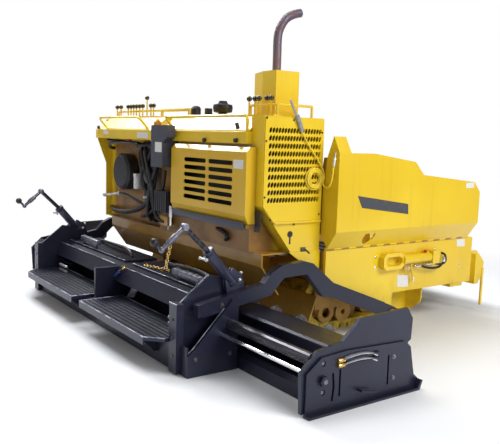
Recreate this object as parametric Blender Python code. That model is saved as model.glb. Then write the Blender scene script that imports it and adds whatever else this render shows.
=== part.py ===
import bpy
import bmesh
import math
from mathutils import Matrix, Vector

# Asphalt paver on tracks with an extending screed.
# Metres, +Z up. +Y is forward, towards the hopper, and +X is the machine's right.
# Places are given from the ground midway between the tracks; the last step moves
# the origin to the ground under the middle of the overall length.

# Overall sizes
ground = 0.0
seat = 0.0003
run = 0.005
slide = 0.0008
overrun = 0.02
sheet = 0.008
plate = 0.02
bend = math.radians(35)

# Where the big pieces begin and end along the machine
hopper_rear = -0.745
hopper_front = 0.64
box_front = 0.70
engine_front = -0.756
engine_rear = -1.21
fascia_rear = -1.25
console_rear = -1.30
screed_front = -1.45
screed_rear = -1.77

door_left = 0.15
bar_lug = 0.02
bar_y = -1.245
bar_z = 0.765
bar_wall = 0.014

# Heights
floor_height = 0.41
hinge_height = 0.615
fold_height = 0.729
wing_top = 1.212
engine_floor = 0.60
deck_height = 1.32
hood_height = 1.415

# Half widths
inner_half = 0.60
track_inner = 0.67
track_outer = 0.93
body_half = 1.12
cover_width = 0.12
cover_inner = body_half - cover_width
door_inset = 0.07
door_right = body_half - door_inset
box_half = 1.17
wing_half = 1.26
arm_inner = 1.19
arm_outer = 1.2397
screed_half = 1.24
reach = 1.95

# Colours
yellow = (0.80, 0.52, 0.04)
steel_blue = (0.055, 0.058, 0.085)
black = (0.015, 0.015, 0.018)
chrome = (0.75, 0.76, 0.78)
bare = (0.42, 0.41, 0.40)
rubber = (0.02, 0.02, 0.021)
amber = (0.85, 0.35, 0.03)
cast = (0.14, 0.13, 0.12)
urethane = (0.72, 0.56, 0.06)
canister = (0.80, 0.80, 0.78)
stack_grey = (0.20, 0.17, 0.19)

for thing in list(bpy.data.objects):
    bpy.data.objects.remove(thing, do_unlink=True)
scene = bpy.context.scene
materials = {}


def paint(name, colour, roughness, metallic):
    if name not in materials:
        material = bpy.data.materials.new(name)
        material.use_nodes = True
        shader = material.node_tree.nodes["Principled BSDF"]
        shader.inputs["Base Color"].default_value = (*colour, 1.0)
        shader.inputs["Roughness"].default_value = roughness
        shader.inputs["Metallic"].default_value = metallic
        materials[name] = material
    return materials[name]


def yellow_paint():
    return paint("yellow paint", yellow, 0.35, 0.0)


def dark_paint():
    return paint("dark paint", steel_blue, 0.4, 0.2)


def closed(data):
    mesh = bmesh.new()
    mesh.from_mesh(data)
    bmesh.ops.recalc_face_normals(mesh, faces=mesh.faces)
    mesh.to_mesh(data)
    mesh.free()
    return data


def loft(rings):
    # A solid through rings of points, closed by a flat face at each end.
    data = bpy.data.meshes.new("loft")
    count = len(rings[0])
    points = [point for ring in rings for point in ring]
    faces = []
    for row in range(len(rings) - 1):
        for side in range(count):
            after = (side + 1) % count
            low = row * count
            high = low + count
            faces.append((low + side, low + after, high + after, high + side))
    faces.append(tuple(range(count)))
    faces.append(tuple(range((len(rings) - 1) * count, len(rings) * count)))
    data.from_pydata(points, [], faces)
    return closed(data)


def prism(axis, outline, low, high):
    # An outline drawn across the axis, in the order of the two other axes.
    def place(pair, depth):
        if axis == "x":
            return (depth, pair[0], pair[1])
        if axis == "y":
            return (pair[0], depth, pair[1])
        return (pair[0], pair[1], depth)

    ends = (min(low, high), max(low, high))
    return loft([[place(pair, depth) for pair in outline] for depth in ends])


def block(x, y, z):
    across = [(x[0], y[0]), (x[1], y[0]), (x[1], y[1]), (x[0], y[1])]
    return prism("z", across, z[0], z[1])


def arc(centre, radius, start, end, steps):
    points = []
    for step in range(steps + 1):
        angle = math.radians(start + (end - start) * step / steps)
        points.append((centre[0] + radius * math.cos(angle), centre[1] + radius * math.sin(angle)))
    return points


def spread(shares, start, end):
    # Points given as shares of the way from one corner to the opposite one.
    return [
        (start[0] + (end[0] - start[0]) * along, start[1] + (end[1] - start[1]) * up)
        for along, up in shares
    ]


def disc(axis, centre, radius, low, high, sides=20):
    return prism(axis, arc(centre, radius, 0, 360 - 360 / sides, sides - 1), low, high)


def ring_of(centre, direction, radius, sides, start):
    turn = direction.to_track_quat("Z", "Y")
    points = []
    for step in range(sides):
        angle = start + math.tau * step / sides
        points.append(Vector(centre) + turn @ Vector((radius * math.cos(angle), radius * math.sin(angle), 0)))
    return points


def rod(start, end, radius, sides=12, end_radius=None):
    start = Vector(start)
    end = Vector(end)
    direction = (end - start).normalized()
    last = radius if end_radius is None else end_radius
    return loft([ring_of(start, direction, radius, sides, 0), ring_of(end, direction, last, sides, 0)])


def turned(start, direction, profile, sides=20):
    # A turned piece: pairs of distance along the direction and radius.
    start = Vector(start)
    direction = Vector(direction).normalized()
    return loft([ring_of(start + direction * along, direction, radius, sides, 0) for along, radius in profile])


def swept(points, radius, sides=10):
    # A tube whose rings follow the bends of its route.
    points = [Vector(point) for point in points]
    rings = []
    turn = None
    for index, point in enumerate(points):
        before = points[max(index - 1, 0)]
        after = points[min(index + 1, len(points) - 1)]
        direction = (after - before).normalized()
        if turn is None:
            turn = direction.to_track_quat("Z", "Y")
        else:
            turn = (turn @ Vector((0, 0, 1))).rotation_difference(direction) @ turn
        ring = []
        for step in range(sides):
            angle = math.tau * step / sides
            ring.append(point + turn @ Vector((radius * math.cos(angle), radius * math.sin(angle), 0)))
        rings.append(ring)
    return loft(rings)


def smooth_route(points, steps):
    # Points read from a smooth curve through the route's own points.
    points = [Vector(point) for point in points]
    route = []
    for index in range(len(points) - 1):
        a = points[max(index - 1, 0)]
        b = points[index]
        c = points[index + 1]
        d = points[min(index + 2, len(points) - 1)]
        for step in range(steps):
            t = step / steps
            route.append(
                b
                + (c - a) * (t / 2)
                + (a * 2 - b * 5 + c * 4 - d) * (t * t / 2)
                + (b * 3 - a - c * 3 + d) * (t * t * t / 2)
            )
    route.append(points[-1])
    return route


def combine(base, others, operation):
    if not others:
        return base
    body = bpy.data.objects.new("body", base)
    scene.collection.objects.link(body)
    group = bpy.data.collections.new("group")
    scene.collection.children.link(group)
    helpers = []
    for data in others:
        helper = bpy.data.objects.new("helper", data)
        helper.hide_render = True
        helper.display_type = "WIRE"
        group.objects.link(helper)
        helpers.append(helper)
    modifier = body.modifiers.new("combine", "BOOLEAN")
    modifier.operation = operation
    modifier.operand_type = "COLLECTION"
    modifier.collection = group
    modifier.solver = "EXACT"
    bpy.context.view_layer.update()
    result = bpy.data.meshes.new_from_object(body.evaluated_get(bpy.context.evaluated_depsgraph_get()))
    for thing in helpers + [body]:
        bpy.data.objects.remove(thing, do_unlink=True)
    bpy.data.collections.remove(group)
    mesh = bmesh.new()
    mesh.from_mesh(result)
    bmesh.ops.remove_doubles(mesh, verts=mesh.verts, dist=0.00002)
    bmesh.ops.dissolve_limit(mesh, angle_limit=0.002, verts=mesh.verts, edges=mesh.edges)
    mesh.to_mesh(result)
    mesh.free()
    return result


def union(pieces):
    return combine(pieces[0], pieces[1:], "UNION")


def carve(base, cutters):
    return combine(base, cutters, "DIFFERENCE")


def mirrored(data):
    copy = data.copy()
    copy.transform(Matrix.Scale(-1, 4, (1, 0, 0)))
    copy.flip_normals()
    return closed(copy)


def node(name, data, material, pivot=None, smooth=False):
    thing = bpy.data.objects.new(name, data)
    scene.collection.objects.link(thing)
    data.materials.clear()
    data.materials.append(material)
    if smooth:
        data.shade_smooth()
        data.set_sharp_from_angle(angle=bend)
    if pivot is not None:
        data.transform(Matrix.Translation(-Vector(pivot)))
        thing.location = pivot
    return thing


def pair(name, data, material, pivot=None, smooth=False):
    # The same piece on the right and, mirrored, on the left.
    other = mirrored(data)
    node(name + "_right", data, material, pivot, smooth)
    left_pivot = None if pivot is None else (-pivot[0], pivot[1], pivot[2])
    node(name + "_left", other, material, left_pivot, smooth)


# Main frame: two long plates inside the tracks, the hopper floor, and cross plates
frame_rear = -1.12
frame_low = 0.24
frame_wall = 0.02
cross_wall = 0.016
floor_wall = 0.012
slope_inner_height = 0.47
slope_outer_height = 0.600
slope_wall = 0.012
box_inner = box_half - plate
ridge_half = 0.045
ridge_height = 0.56
outrigger_low = 0.43
front_sill_low = 0.20
sprocket_radius = 0.150
chain_thick = 0.030
pad_height = 0.026
drum_height = sprocket_radius + chain_thick + pad_height
axle_rear = (-0.50, drum_height)
axle_front = (0.23, drum_height)
axle_gap = 0.02
floor_rear = -0.99
plate_heel = (-0.93, 0.30)
plate_toe_high = 0.45
axle_radius = 0.045
apron_high = engine_floor - seat
apron_bend = 0.52
apron_low = 0.34
apron_back = -1.17
apron_front = -1.04
apron_wall = 0.010
apron_inset = 0.04
apron_half = body_half - apron_inset
deflector_low = (-0.80, 0.145)
deflector_high = (-0.742, 0.30)
deflector_wall = 0.010
deflector_half = 1.10
tunnel_high = engine_floor - seat
front_plate_wall = 0.014
push_rear = box_front + front_plate_wall + run

frame_pieces = [
    block((-inner_half, inner_half), (floor_rear, box_front), (floor_height, floor_height + floor_wall)),
    block((-inner_half, inner_half), (box_front - cross_wall, push_rear - seat), (front_sill_low, floor_height + floor_wall)),
    block((-inner_half, inner_half), (engine_front, engine_front + cross_wall), (frame_low, floor_height + floor_wall)),
    prism(
        "y",
        [(-ridge_half, floor_height), (ridge_half, floor_height), (0, ridge_height)],
        engine_front,
        box_front - cross_wall,
    ),
]
for side in (-1, 1):
    frame_pieces.append(
        prism(
            "x",
            [
                (frame_rear, tunnel_high),
                (frame_rear, plate_toe_high),
                plate_heel,
                (plate_heel[0], frame_low),
                (box_front, frame_low),
                (box_front, slope_inner_height),
                (hopper_rear, slope_inner_height),
                (hopper_rear, tunnel_high),
            ],
            side * (inner_half - frame_wall),
            side * inner_half,
        )
    )
    frame_pieces.append(
        prism(
            "y",
            [
                (side * (inner_half - frame_wall), slope_inner_height),
                (side * (box_inner - seat), slope_outer_height),
                (side * (box_inner - seat), slope_outer_height - slope_wall),
                (side * (inner_half - frame_wall), slope_inner_height - slope_wall),
            ],
            hopper_rear + run,
            box_front - seat,
        )
    )
    for start in (hopper_rear + run, box_front - cross_wall - seat):
        frame_pieces.append(
            prism(
                "y",
                [
                    (side * (inner_half - frame_wall), outrigger_low),
                    (side * (box_inner - seat), outrigger_low),
                    (side * (box_inner - seat), slope_outer_height - slope_wall / 2),
                    (side * (inner_half - frame_wall), slope_inner_height - slope_wall / 2),
                ],
                start,
                start + cross_wall,
            )
        )
    for centre in (axle_rear, axle_front):
        frame_pieces.append(
            disc("x", centre, axle_radius, side * (inner_half - frame_wall), side * (track_inner - axle_gap), 12)
        )
frame_pieces.append(
    prism(
        "x",
        [
            (apron_back, apron_high),
            (apron_back, apron_bend),
            (apron_front, apron_low),
            (apron_front + apron_wall, apron_low),
            (apron_back + apron_wall, apron_bend),
            (apron_back + apron_wall, apron_high),
        ],
        -apron_half,
        apron_half,
    )
)
frame_pieces.append(
    block((-apron_half, apron_half), (apron_back, engine_front), (apron_high - apron_wall, apron_high))
)
frame_pieces.append(
    prism(
        "x",
        [
            deflector_low,
            deflector_high,
            (deflector_high[0] + deflector_wall, deflector_high[1]),
            (deflector_low[0] + deflector_wall, deflector_low[1]),
        ],
        -deflector_half,
        deflector_half,
    )
)
node("main_frame", union(frame_pieces), yellow_paint())

# Box sides: the plates under the hopper's hinges, with the tow lug and the tie-down eyes
pivot_y = -0.19
pivot_z = 0.15
box_low = 0.272
box_heel = 0.335
box_knee = -0.68
hinge_radius = 0.011
box_top = hinge_height - hinge_radius - seat
lug_rear = -0.36
lug_front = -0.12
lug_radius = 0.06
pin_radius = 0.024
pin_head = 0.034
pin_head_height = 0.016
boss_radius = 0.042
eye_inner = 0.947
eye_wall = 0.018
eye_high = 0.42
eye_centre = (-0.53, 0.135)
eye_radius = 0.068
eye_hole = 0.036
lobe_centre = (-0.375, 0.125)
lobe_hole = 0.018
eye_plate_low = 0.165
eye_rear = -0.63
eye_front = -0.20
guard_inner = 0.96
guard_outer = 1.11
guard_rear = 0.03
guard_front = 0.245
guard_low = 0.056
guard_heel = 0.12
guard_wall = 0.012
guard_shares = [(0, 0), (0.24, 0.07), (0.78, 0.32), (0.94, 0.43), (1, 0.56), (1, 1), (0, 1)]
foot_rear = 0.50
foot_front = 0.64
foot_low = 0.243
flange_wall = 0.014
flange_inner = 1.04
front_plate_low = 0.43
cylinder_radius = 0.033
cylinder_sink = 0.004
cylinder_centre = (box_half + cylinder_radius - cylinder_sink, 0.50)
cylinder_rear = -0.08
cylinder_front = 0.20
gland_width = 0.03
gland_wall = 0.004
clevis_rear = -0.27
clevis_low = 0.443
clevis_high = 0.554
clevis_wall = 0.05
clevis_rim = 0.024
clevis_shares = [(0, 0.25), (0, 0.75), (0.12, 1), (0.8, 1), (1, 0.72), (1, 0.28), (0.8, 0), (0.12, 0)]
port_front = 0.27
port_half = 0.045
port_radius = 0.012
port_rise = 0.012
handle_high = (0.017, 0.470)
handle_low = (0.048, 0.341)
handle_radius = 0.007
box_pieces = [
    prism(
        "x",
        spread(clevis_shares, (clevis_rear, clevis_low), (cylinder_rear + overrun, clevis_high)),
        box_half - plate / 2,
        box_half + clevis_wall,
    ),
    disc("y", cylinder_centre, cylinder_radius, cylinder_rear, cylinder_front + run, 18),
    disc("y", cylinder_centre, cylinder_radius + gland_wall, cylinder_rear, cylinder_rear + gland_width, 18),
    block(
        (box_half - plate / 2, box_half + 2 * cylinder_radius),
        (cylinder_front, port_front),
        (cylinder_centre[1] - port_half, cylinder_centre[1] + port_half),
    ),
    disc(
        "z",
        (cylinder_centre[0], cylinder_front - 2 * port_radius),
        port_radius,
        cylinder_centre[1],
        cylinder_centre[1] + cylinder_radius + port_rise,
        8,
    ),
    rod((cylinder_centre[0], *handle_high), (cylinder_centre[0], *handle_low), handle_radius, 6),
    prism(
        "x",
        [
            (hopper_rear + run, box_top),
            (hopper_rear + run, box_heel),
            (box_knee, box_heel),
            (lug_rear, box_low),
        ]
        + arc((pivot_y, pivot_z), lug_radius, 200, 360, 8)
        + [(lug_front, box_low), (box_front, box_low), (box_front, box_top)],
        box_half - plate,
        box_half,
    ),
    block(
        (flange_inner, box_half - plate / 2),
        (lug_front, box_front),
        (box_low, box_low + flange_wall),
    ),
    block(
        (inner_half + 2 * seat, box_half - plate / 2),
        (box_front + seat, box_front + front_plate_wall),
        (front_plate_low, box_top),
    ),
    block(
        (eye_inner, box_half - plate / 2),
        (box_front + seat, box_front + front_plate_wall),
        (box_low, box_top),
    ),
    block(
        (box_half - plate, box_half),
        (box_front - overrun, box_front + front_plate_wall),
        (box_low, box_top),
    ),
    block(
        (eye_inner + eye_wall + seat, box_half - plate / 2),
        (eye_rear, eye_front),
        (eye_high - flange_wall, eye_high),
    ),
    prism(
        "x",
        [
            (guard_rear, box_low),
            (guard_rear, guard_heel),
            (guard_front + guard_wall, guard_low),
            (guard_front + guard_wall, box_low),
        ],
        guard_inner,
        guard_inner + guard_wall,
    ),
    prism(
        "y",
        spread(guard_shares, (guard_inner, guard_low), (guard_outer, box_low)),
        guard_front,
        guard_front + guard_wall,
    ),
    block(
        (guard_inner, guard_outer),
        (guard_rear, guard_front + guard_wall),
        (box_low - guard_wall, box_low + flange_wall / 2),
    ),
    block(
        (flange_inner, box_half - plate / 2),
        (foot_rear, foot_front),
        (foot_low, box_low + flange_wall / 2),
    ),
    disc("x", (pivot_y, pivot_z), boss_radius, box_half - plate / 2, arm_inner - slide, 20),
    disc("x", (pivot_y, pivot_z), pin_radius, box_half - plate / 2, arm_outer + slide + pin_head_height, 20),
    disc("x", (pivot_y, pivot_z), pin_head, arm_outer + slide, arm_outer + slide + pin_head_height, 6),
]
clevis_hole = prism(
    "x",
    spread(
        clevis_shares,
        (clevis_rear + clevis_rim, clevis_low + clevis_rim),
        (cylinder_rear - clevis_rim / 2, clevis_high - clevis_rim),
    ),
    box_half + seat,
    box_half + clevis_wall + overrun,
)
pair("box_side", carve(union(box_pieces), [clevis_hole]), yellow_paint())

# Lashing plates beside the tracks, each with a ring eye and a smaller lobe
lashing = carve(
    union(
        [
            block((eye_inner, eye_inner + eye_wall), (eye_rear, eye_front), (eye_plate_low, eye_high)),
            disc("x", eye_centre, eye_radius, eye_inner, eye_inner + eye_wall, 20),
            disc("x", lobe_centre, eye_radius, eye_inner, eye_inner + eye_wall, 20),
        ]
    ),
    [
        disc("x", eye_centre, eye_hole, eye_inner - overrun, eye_inner + eye_wall + overrun, 16),
        disc("x", lobe_centre, lobe_hole, eye_inner - overrun, eye_inner + eye_wall + overrun, 12),
    ],
)
pair("lashing_plate", lashing, yellow_paint())

# Hopper wings: folded plates on piano hinges, drawn in their lowered position
wing_wall = 0.008
wing_front_high = 0.949
wing_level_front = -0.449
chamfer_shares = [(0.354, 0.19), (0.433, 0.517), (0.939, 0.722), (1, 1)]
rear_plate_inner = 1.12
rear_plate_shoulder = 1.15
rear_plate_low = 0.70
rear_plate_high = 0.98
rear_plate_crest = 1.18
flap_front = -0.648
flap_inner = 1.195
flap_high = 1.31
notch_centre = (-0.43, 0.68)
notch_radius = 0.05
panel = prism(
    "y",
    [
        (box_half, hinge_height - wing_wall / 2),
        (box_half, hinge_height + wing_wall),
        (wing_half - wing_wall, fold_height + wing_wall),
        (wing_half, fold_height + wing_wall / 2),
        (wing_half, fold_height),
        (box_half + wing_wall, hinge_height - wing_wall / 2),
    ],
    hopper_rear,
    hopper_front,
)
side_plate = prism(
    "x",
    [(hopper_rear, fold_height), (hopper_rear, wing_top), (wing_level_front, wing_top)]
    + spread(chamfer_shares, (wing_level_front, wing_top), (hopper_front, wing_front_high))
    + [(hopper_front, fold_height)],
    wing_half - wing_wall,
    wing_half,
)
flap = prism(
    "y",
    [
        (wing_half - wing_wall, wing_top - wing_wall),
        (wing_half, wing_top - wing_wall),
        (wing_half, wing_top),
        (flap_inner + wing_wall, flap_high),
        (flap_inner, flap_high),
        (wing_half - wing_wall, wing_top),
    ],
    hopper_rear,
    flap_front,
)
end_plate = prism(
    "y",
    [
        (box_half + wing_wall, hinge_height + wing_wall),
        (wing_half - wing_wall / 2, fold_height + wing_wall / 2),
        (wing_half - wing_wall / 2, wing_top - wing_wall),
        (flap_inner + wing_wall / 2, flap_high - wing_wall),
        (rear_plate_shoulder, rear_plate_crest),
        (rear_plate_inner, rear_plate_high),
        (rear_plate_inner, rear_plate_low),
    ],
    hopper_rear,
    hopper_rear + wing_wall,
)
barrel = disc("y", (box_half, hinge_height), hinge_radius, hopper_rear, hopper_front, 12)
wing = carve(
    union([panel, side_plate, flap, end_plate, barrel]),
    [disc("x", notch_centre, notch_radius, box_half, wing_half - 2 * wing_wall, 16)],
)
pair("hopper_wing", wing, yellow_paint(), (box_half, (hopper_rear + hopper_front) / 2, hinge_height))

# Slat conveyors on the hopper floor: each one loop with its slats in the outline
chain_inner = 0.055
chain_outer = 0.565
chain_low = floor_height + floor_wall + seat
chain_wall = 0.012
chain_rear = -0.97
chain_front = 0.66
slat_rise = 0.014
slat_width = 0.03
slat_count = 13
loop_outline = [(chain_rear, chain_low), (chain_rear, chain_low + chain_wall)]
slat_pitch = (chain_front - chain_rear) / (slat_count + 0.5)
for index in range(slat_count):
    start = chain_rear + slat_pitch * (index + 0.5)
    loop_outline += [
        (start, chain_low + chain_wall),
        (start, chain_low + chain_wall + slat_rise),
        (start + slat_width, chain_low + chain_wall + slat_rise),
        (start + slat_width, chain_low + chain_wall),
    ]
loop_outline += [(chain_front, chain_low + chain_wall), (chain_front, chain_low)]
pair(
    "conveyor",
    prism("x", loop_outline, chain_inner, chain_outer),
    paint("worn steel", bare, 0.45, 0.9),
)

# Grab rails: tube loops that lean to the rear over the console
rail_radius = 0.0095
rail_corner = 0.03
rail_foot = 0.018
rail_high = 1.413
corner_share = 0.3
crossbar_share = 0.12


def rail(foot_ends, top_ends, rear, lean):
    low = deck_height - rail_radius
    corners = [
        Vector((foot_ends[0], rear + rail_foot, low)),
        Vector((top_ends[0], rear - lean, rail_high)),
        Vector((top_ends[1], rear - lean, rail_high)),
        Vector((foot_ends[1], rear + rail_foot, low)),
    ]
    points = []
    for index in (1, 2):
        before = (corners[index - 1] - corners[index]).normalized()
        after = (corners[index + 1] - corners[index]).normalized()
        points.append(corners[index] + before * rail_corner)
        points.append(corners[index] + (before + after) * (rail_corner * corner_share))
        points.append(corners[index] + after * rail_corner)
    tube = swept([corners[0]] + points + [corners[3]], rail_radius, 8)
    crossbar = rod(
        corners[0] + (corners[1] - corners[0]) * crossbar_share,
        corners[3] + (corners[2] - corners[3]) * crossbar_share,
        rail_radius,
        8,
    )
    return union([tube, crossbar])


left_foot_inset = 0.235
left_top_inset = 0.135
left_foot_ends = (left_foot_inset - body_half, -0.172)
left_top_ends = (left_top_inset - body_half, -0.262)
left_lean = 0.03
right_foot_inset = 0.018
right_top_overhang = 0.06
right_foot_ends = (0.135, cover_inner - right_foot_inset)
right_top_ends = (0.06, cover_inner + right_top_overhang)
right_lean = 0.038

# Engine housing: hood, sloped console top, side plates, bulkheads and floor
console_split = -0.12
bulkhead_left = -1.16
wall = sheet
console_break = -1.17
hood_break = -1.12
lip_low = 1.25
side_knee = 1.04
fascia_fold = 1.256
grille_rear = -1.175
grille_front = -0.785
grille_low = 0.902
grille_high = 1.357
right_hip = 0.89
right_heel = -0.98
radiator_left = 0.20
radiator_inset = 0.03
radiator_right = cover_inner - radiator_inset
radiator_low = 0.83
radiator_high = 1.19
drum_centre = (-0.72, 0.99)
drum_radius = 0.145


def hood(rear, fold, start, end):
    return prism(
        "x",
        [
            (rear, lip_low),
            (rear, deck_height),
            (fold, hood_height),
            (engine_front, hood_height),
            (engine_front, hood_height - wall),
            (fold, hood_height - wall),
            (rear + wall, deck_height - wall),
            (rear + wall, lip_low),
        ],
        start,
        end,
    )


housing_pieces = [
    hood(console_rear, console_break, -body_half, console_split),
    hood(fascia_rear, hood_break, console_split - wall, cover_inner),
    block(
        (cover_inner - wall, body_half),
        (engine_rear, engine_front),
        (hood_height - wall, hood_height),
    ),
    block(
        (cover_inner - wall, body_half),
        (engine_rear, engine_rear + wall),
        (right_hip, hood_height - wall / 2),
    ),
    block(
        (-body_half, body_half),
        (engine_front - wall, engine_front),
        (engine_floor, hood_height - wall / 2),
    ),
    block(
        (-body_half, cover_inner),
        (engine_rear + wall / 2, engine_front),
        (engine_floor, engine_floor + wall),
    ),
    block(
        (cover_inner - wall, body_half),
        (right_heel, engine_front),
        (engine_floor, engine_floor + wall),
    ),
    # The left side
    prism(
        "x",
        [
            (console_rear, deck_height - wall / 2),
            (console_rear + wall, fascia_fold),
            (engine_rear, side_knee),
            (engine_rear, engine_floor),
            (engine_front, engine_floor),
            (engine_front, hood_height - wall / 2),
            (console_break, hood_height - wall / 2),
        ],
        -body_half,
        wall - body_half,
    ),
    # The right side, with its rear corner cut back towards the floor
    prism(
        "x",
        [
            (engine_rear, hood_height - wall / 2),
            (engine_rear, right_hip),
            (right_heel, engine_floor),
            (engine_front, engine_floor),
            (engine_front, hood_height - wall / 2),
        ],
        body_half - wall,
        body_half,
    ),
    prism(
        "x",
        [
            (engine_rear, right_hip),
            (engine_rear, right_hip + 2 * wall),
            (right_heel + wall, engine_floor + wall / 2),
            (right_heel, engine_floor + wall / 2),
        ],
        cover_inner - wall,
        body_half - wall / 2,
    ),
    # The cheek beside the hood and the one under it
    prism(
        "x",
        [
            (fascia_rear + wall / 2, lip_low),
            (fascia_rear + wall / 2, deck_height - wall / 2),
            (engine_rear, deck_height + wall),
            (engine_rear, hood_height - wall / 2),
            (hood_break, hood_height - wall / 2),
            (engine_rear + wall, lip_low),
        ],
        cover_inner - wall,
        cover_inner,
    ),
    prism(
        "x",
        [
            (engine_rear, right_hip + wall),
            (engine_rear, engine_floor),
            (right_heel, engine_floor),
        ],
        cover_inner - wall,
        cover_inner,
    ),
    # The rear walls and the bulkhead between them
    block(
        (console_split, cover_inner),
        (engine_rear, engine_rear + wall),
        (engine_floor, deck_height),
    ),
    block(
        (wall / 2 - body_half, console_split),
        (bulkhead_left, bulkhead_left + wall),
        (engine_floor, deck_height),
    ),
    prism(
        "x",
        [
            (console_rear, deck_height),
            (console_rear, lip_low),
            (engine_rear, side_knee),
            (engine_rear, engine_floor),
            (engine_front, engine_floor),
            (engine_front, hood_height - wall / 2),
            (console_break, hood_height - wall / 2),
        ],
        console_split - wall,
        console_split,
    ),
]
housing = carve(
    union(housing_pieces),
    [
        block(
            (body_half - 2 * wall, body_half + overrun),
            (grille_rear, grille_front),
            (grille_low, grille_high),
        ),
        block(
            (radiator_left, radiator_right),
            (engine_rear - overrun, engine_rear + 2 * wall),
            (radiator_low, radiator_high),
        ),
    ],
)
hinge_bar = [rod((door_left, bar_y, bar_z), (door_right - bar_lug, bar_y, bar_z), bar_wall, 12)]
for x in (door_left + bar_lug, cover_inner - 2 * bar_lug):
    hinge_bar.append(
        block(
            (x, x + bar_lug),
            (bar_y, engine_rear + wall / 2),
            (bar_z - bar_wall / 2, bar_z + bar_wall / 2),
        )
    )
rails = [
    rail(left_foot_ends, left_top_ends, console_rear, left_lean),
    rail(right_foot_ends, right_top_ends, fascia_rear, right_lean),
]
node("engine_housing", union([housing] + rails + hinge_bar), yellow_paint())

# Side panels: the right one perforated with rows of slanted slots, the left one plain
panel_wall = 0.006
panel_gap = 0.004
panel_rear = engine_rear + panel_gap
panel_front = engine_front - panel_gap
panel_low = 0.795
panel_high = 1.408
panel_cut = 0.05
panel_heel = -1.128
panel_lip = 0.022
slot_rows = 10
slot_columns = 9
slot_height = 0.028
slot_width = 0.031
slot_lean = 0.011


def perforated_panel():
    outline = [
        (panel_rear, right_hip),
        (panel_rear, panel_high),
        (panel_front - panel_cut, panel_high),
        (panel_front, panel_high - panel_cut),
        (panel_front, panel_low),
        (panel_heel, panel_low),
    ]
    cutters = []
    pitch_y = (grille_front - grille_rear) / slot_columns
    pitch_z = (grille_high - grille_low) / slot_rows
    for row in range(slot_rows):
        for column in range(slot_columns):
            y = grille_rear + pitch_y * (column + 0.5)
            z = grille_low + pitch_z * (row + 0.5)
            cutters.append(
                prism(
                    "x",
                    [
                        (y - slot_width / 2 - slot_lean / 2, z + slot_height / 2),
                        (y - slot_width / 2 + slot_lean / 2, z - slot_height / 2),
                        (y + slot_width / 2 + slot_lean / 2, z - slot_height / 2),
                        (y + slot_width / 2 - slot_lean / 2, z + slot_height / 2),
                    ],
                    body_half - overrun,
                    body_half + overrun,
                )
            )
    panel = carve(prism("x", outline, body_half + seat, body_half + seat + panel_wall), cutters)
    lip = prism(
        "y",
        [
            (body_half + seat, panel_low + panel_wall),
            (body_half + seat, panel_low - panel_wall),
            (body_half + seat + panel_lip, panel_low - 2 * panel_wall),
            (body_half + seat + panel_lip, panel_low - panel_wall),
        ],
        panel_heel,
        panel_front - panel_wall,
    )
    return union([panel, lip])


node("side_panel_right", perforated_panel(), yellow_paint())
plain_panel = prism(
    "x",
    [
        (panel_rear, panel_low),
        (panel_rear, panel_high),
        (panel_front - panel_cut, panel_high),
        (panel_front, panel_high - panel_cut),
        (panel_front, panel_low),
    ],
    -body_half - seat,
    -body_half - seat - panel_wall,
)
node("side_panel_left", plain_panel, yellow_paint())

# Louvred rear door: a folded pan with two columns of slots, hinged on the bar below it
door_low = bar_z + bar_wall + seat
door_high = 1.232
door_rear = -1.28
door_front = engine_rear - seat
door_wall = 0.005
door_chamfer = 0.05
door_top_chamfer = 0.03
louvre_rows = 6
louvre_height = 0.028
louvre_shift = 0.017
louvre_centre = (door_left + door_right) / 2 + louvre_shift
louvre_share = 0.309
louvre_length = (door_right - door_left) * louvre_share
louvre_gap = 0.028
louvre_low = 0.890
louvre_high = 1.133


def pan(grow):
    return prism(
        "x",
        [
            (door_front + (overrun if grow else 0), door_low + grow),
            (door_rear + door_chamfer / 2 + grow, door_low + grow),
            (door_rear + grow, door_low + door_chamfer + grow),
            (door_rear + grow, door_high - door_top_chamfer - grow / 2),
            (door_rear + door_top_chamfer + grow, door_high - grow),
            (door_front + (overrun if grow else 0), door_high - grow),
        ],
        door_left + grow,
        door_right - grow,
    )


louvres = []
louvre_pitch = (louvre_high - louvre_low) / (louvre_rows - 1)
for row in range(louvre_rows):
    z = louvre_low + louvre_pitch * row
    for left in (louvre_centre - louvre_gap / 2 - louvre_length, louvre_centre + louvre_gap / 2):
        start = left + louvre_height / 2
        end = left + louvre_length - louvre_height / 2
        outline = arc((start, z), louvre_height / 2, 90, 270, 4) + arc((end, z), louvre_height / 2, -90, 90, 4)
        louvres.append(prism("y", outline, door_rear - overrun, door_rear + 2 * overrun))
door = carve(pan(0), [pan(door_wall)] + louvres)
node("rear_door", door, yellow_paint(), ((door_left + door_right) / 2, bar_y, bar_z))

# Radiator behind its opening, and the engine block
core_wall = 0.05
core_margin = 0.03
radiator = block(
    (radiator_left - core_margin, cover_inner - wall - 2 * seat),
    (engine_rear + wall + seat, engine_rear + wall + core_wall),
    (radiator_low - core_margin, radiator_high + core_margin),
)
node("radiator", radiator, paint("radiator black", black, 0.7, 0.1))
engine_left = -0.08
engine_inset = 0.20
engine_right = cover_inner - engine_inset
engine_block_rear = -1.12
engine_block_front = -0.80
engine_block_high = 1.22
crankcase_high = 0.95
engine_step = 0.05
engine = union(
    [
        block(
            (engine_left, engine_right),
            (engine_block_rear, engine_block_front),
            (engine_floor + wall + seat, crankcase_high),
        ),
        block(
            (engine_left + engine_step, engine_right - engine_step),
            (engine_block_rear + engine_step, engine_block_front - engine_step),
            (crankcase_high - overrun, engine_block_high),
        ),
    ]
)
node("engine", engine, paint("cast iron", cast, 0.7, 0.4))

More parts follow.
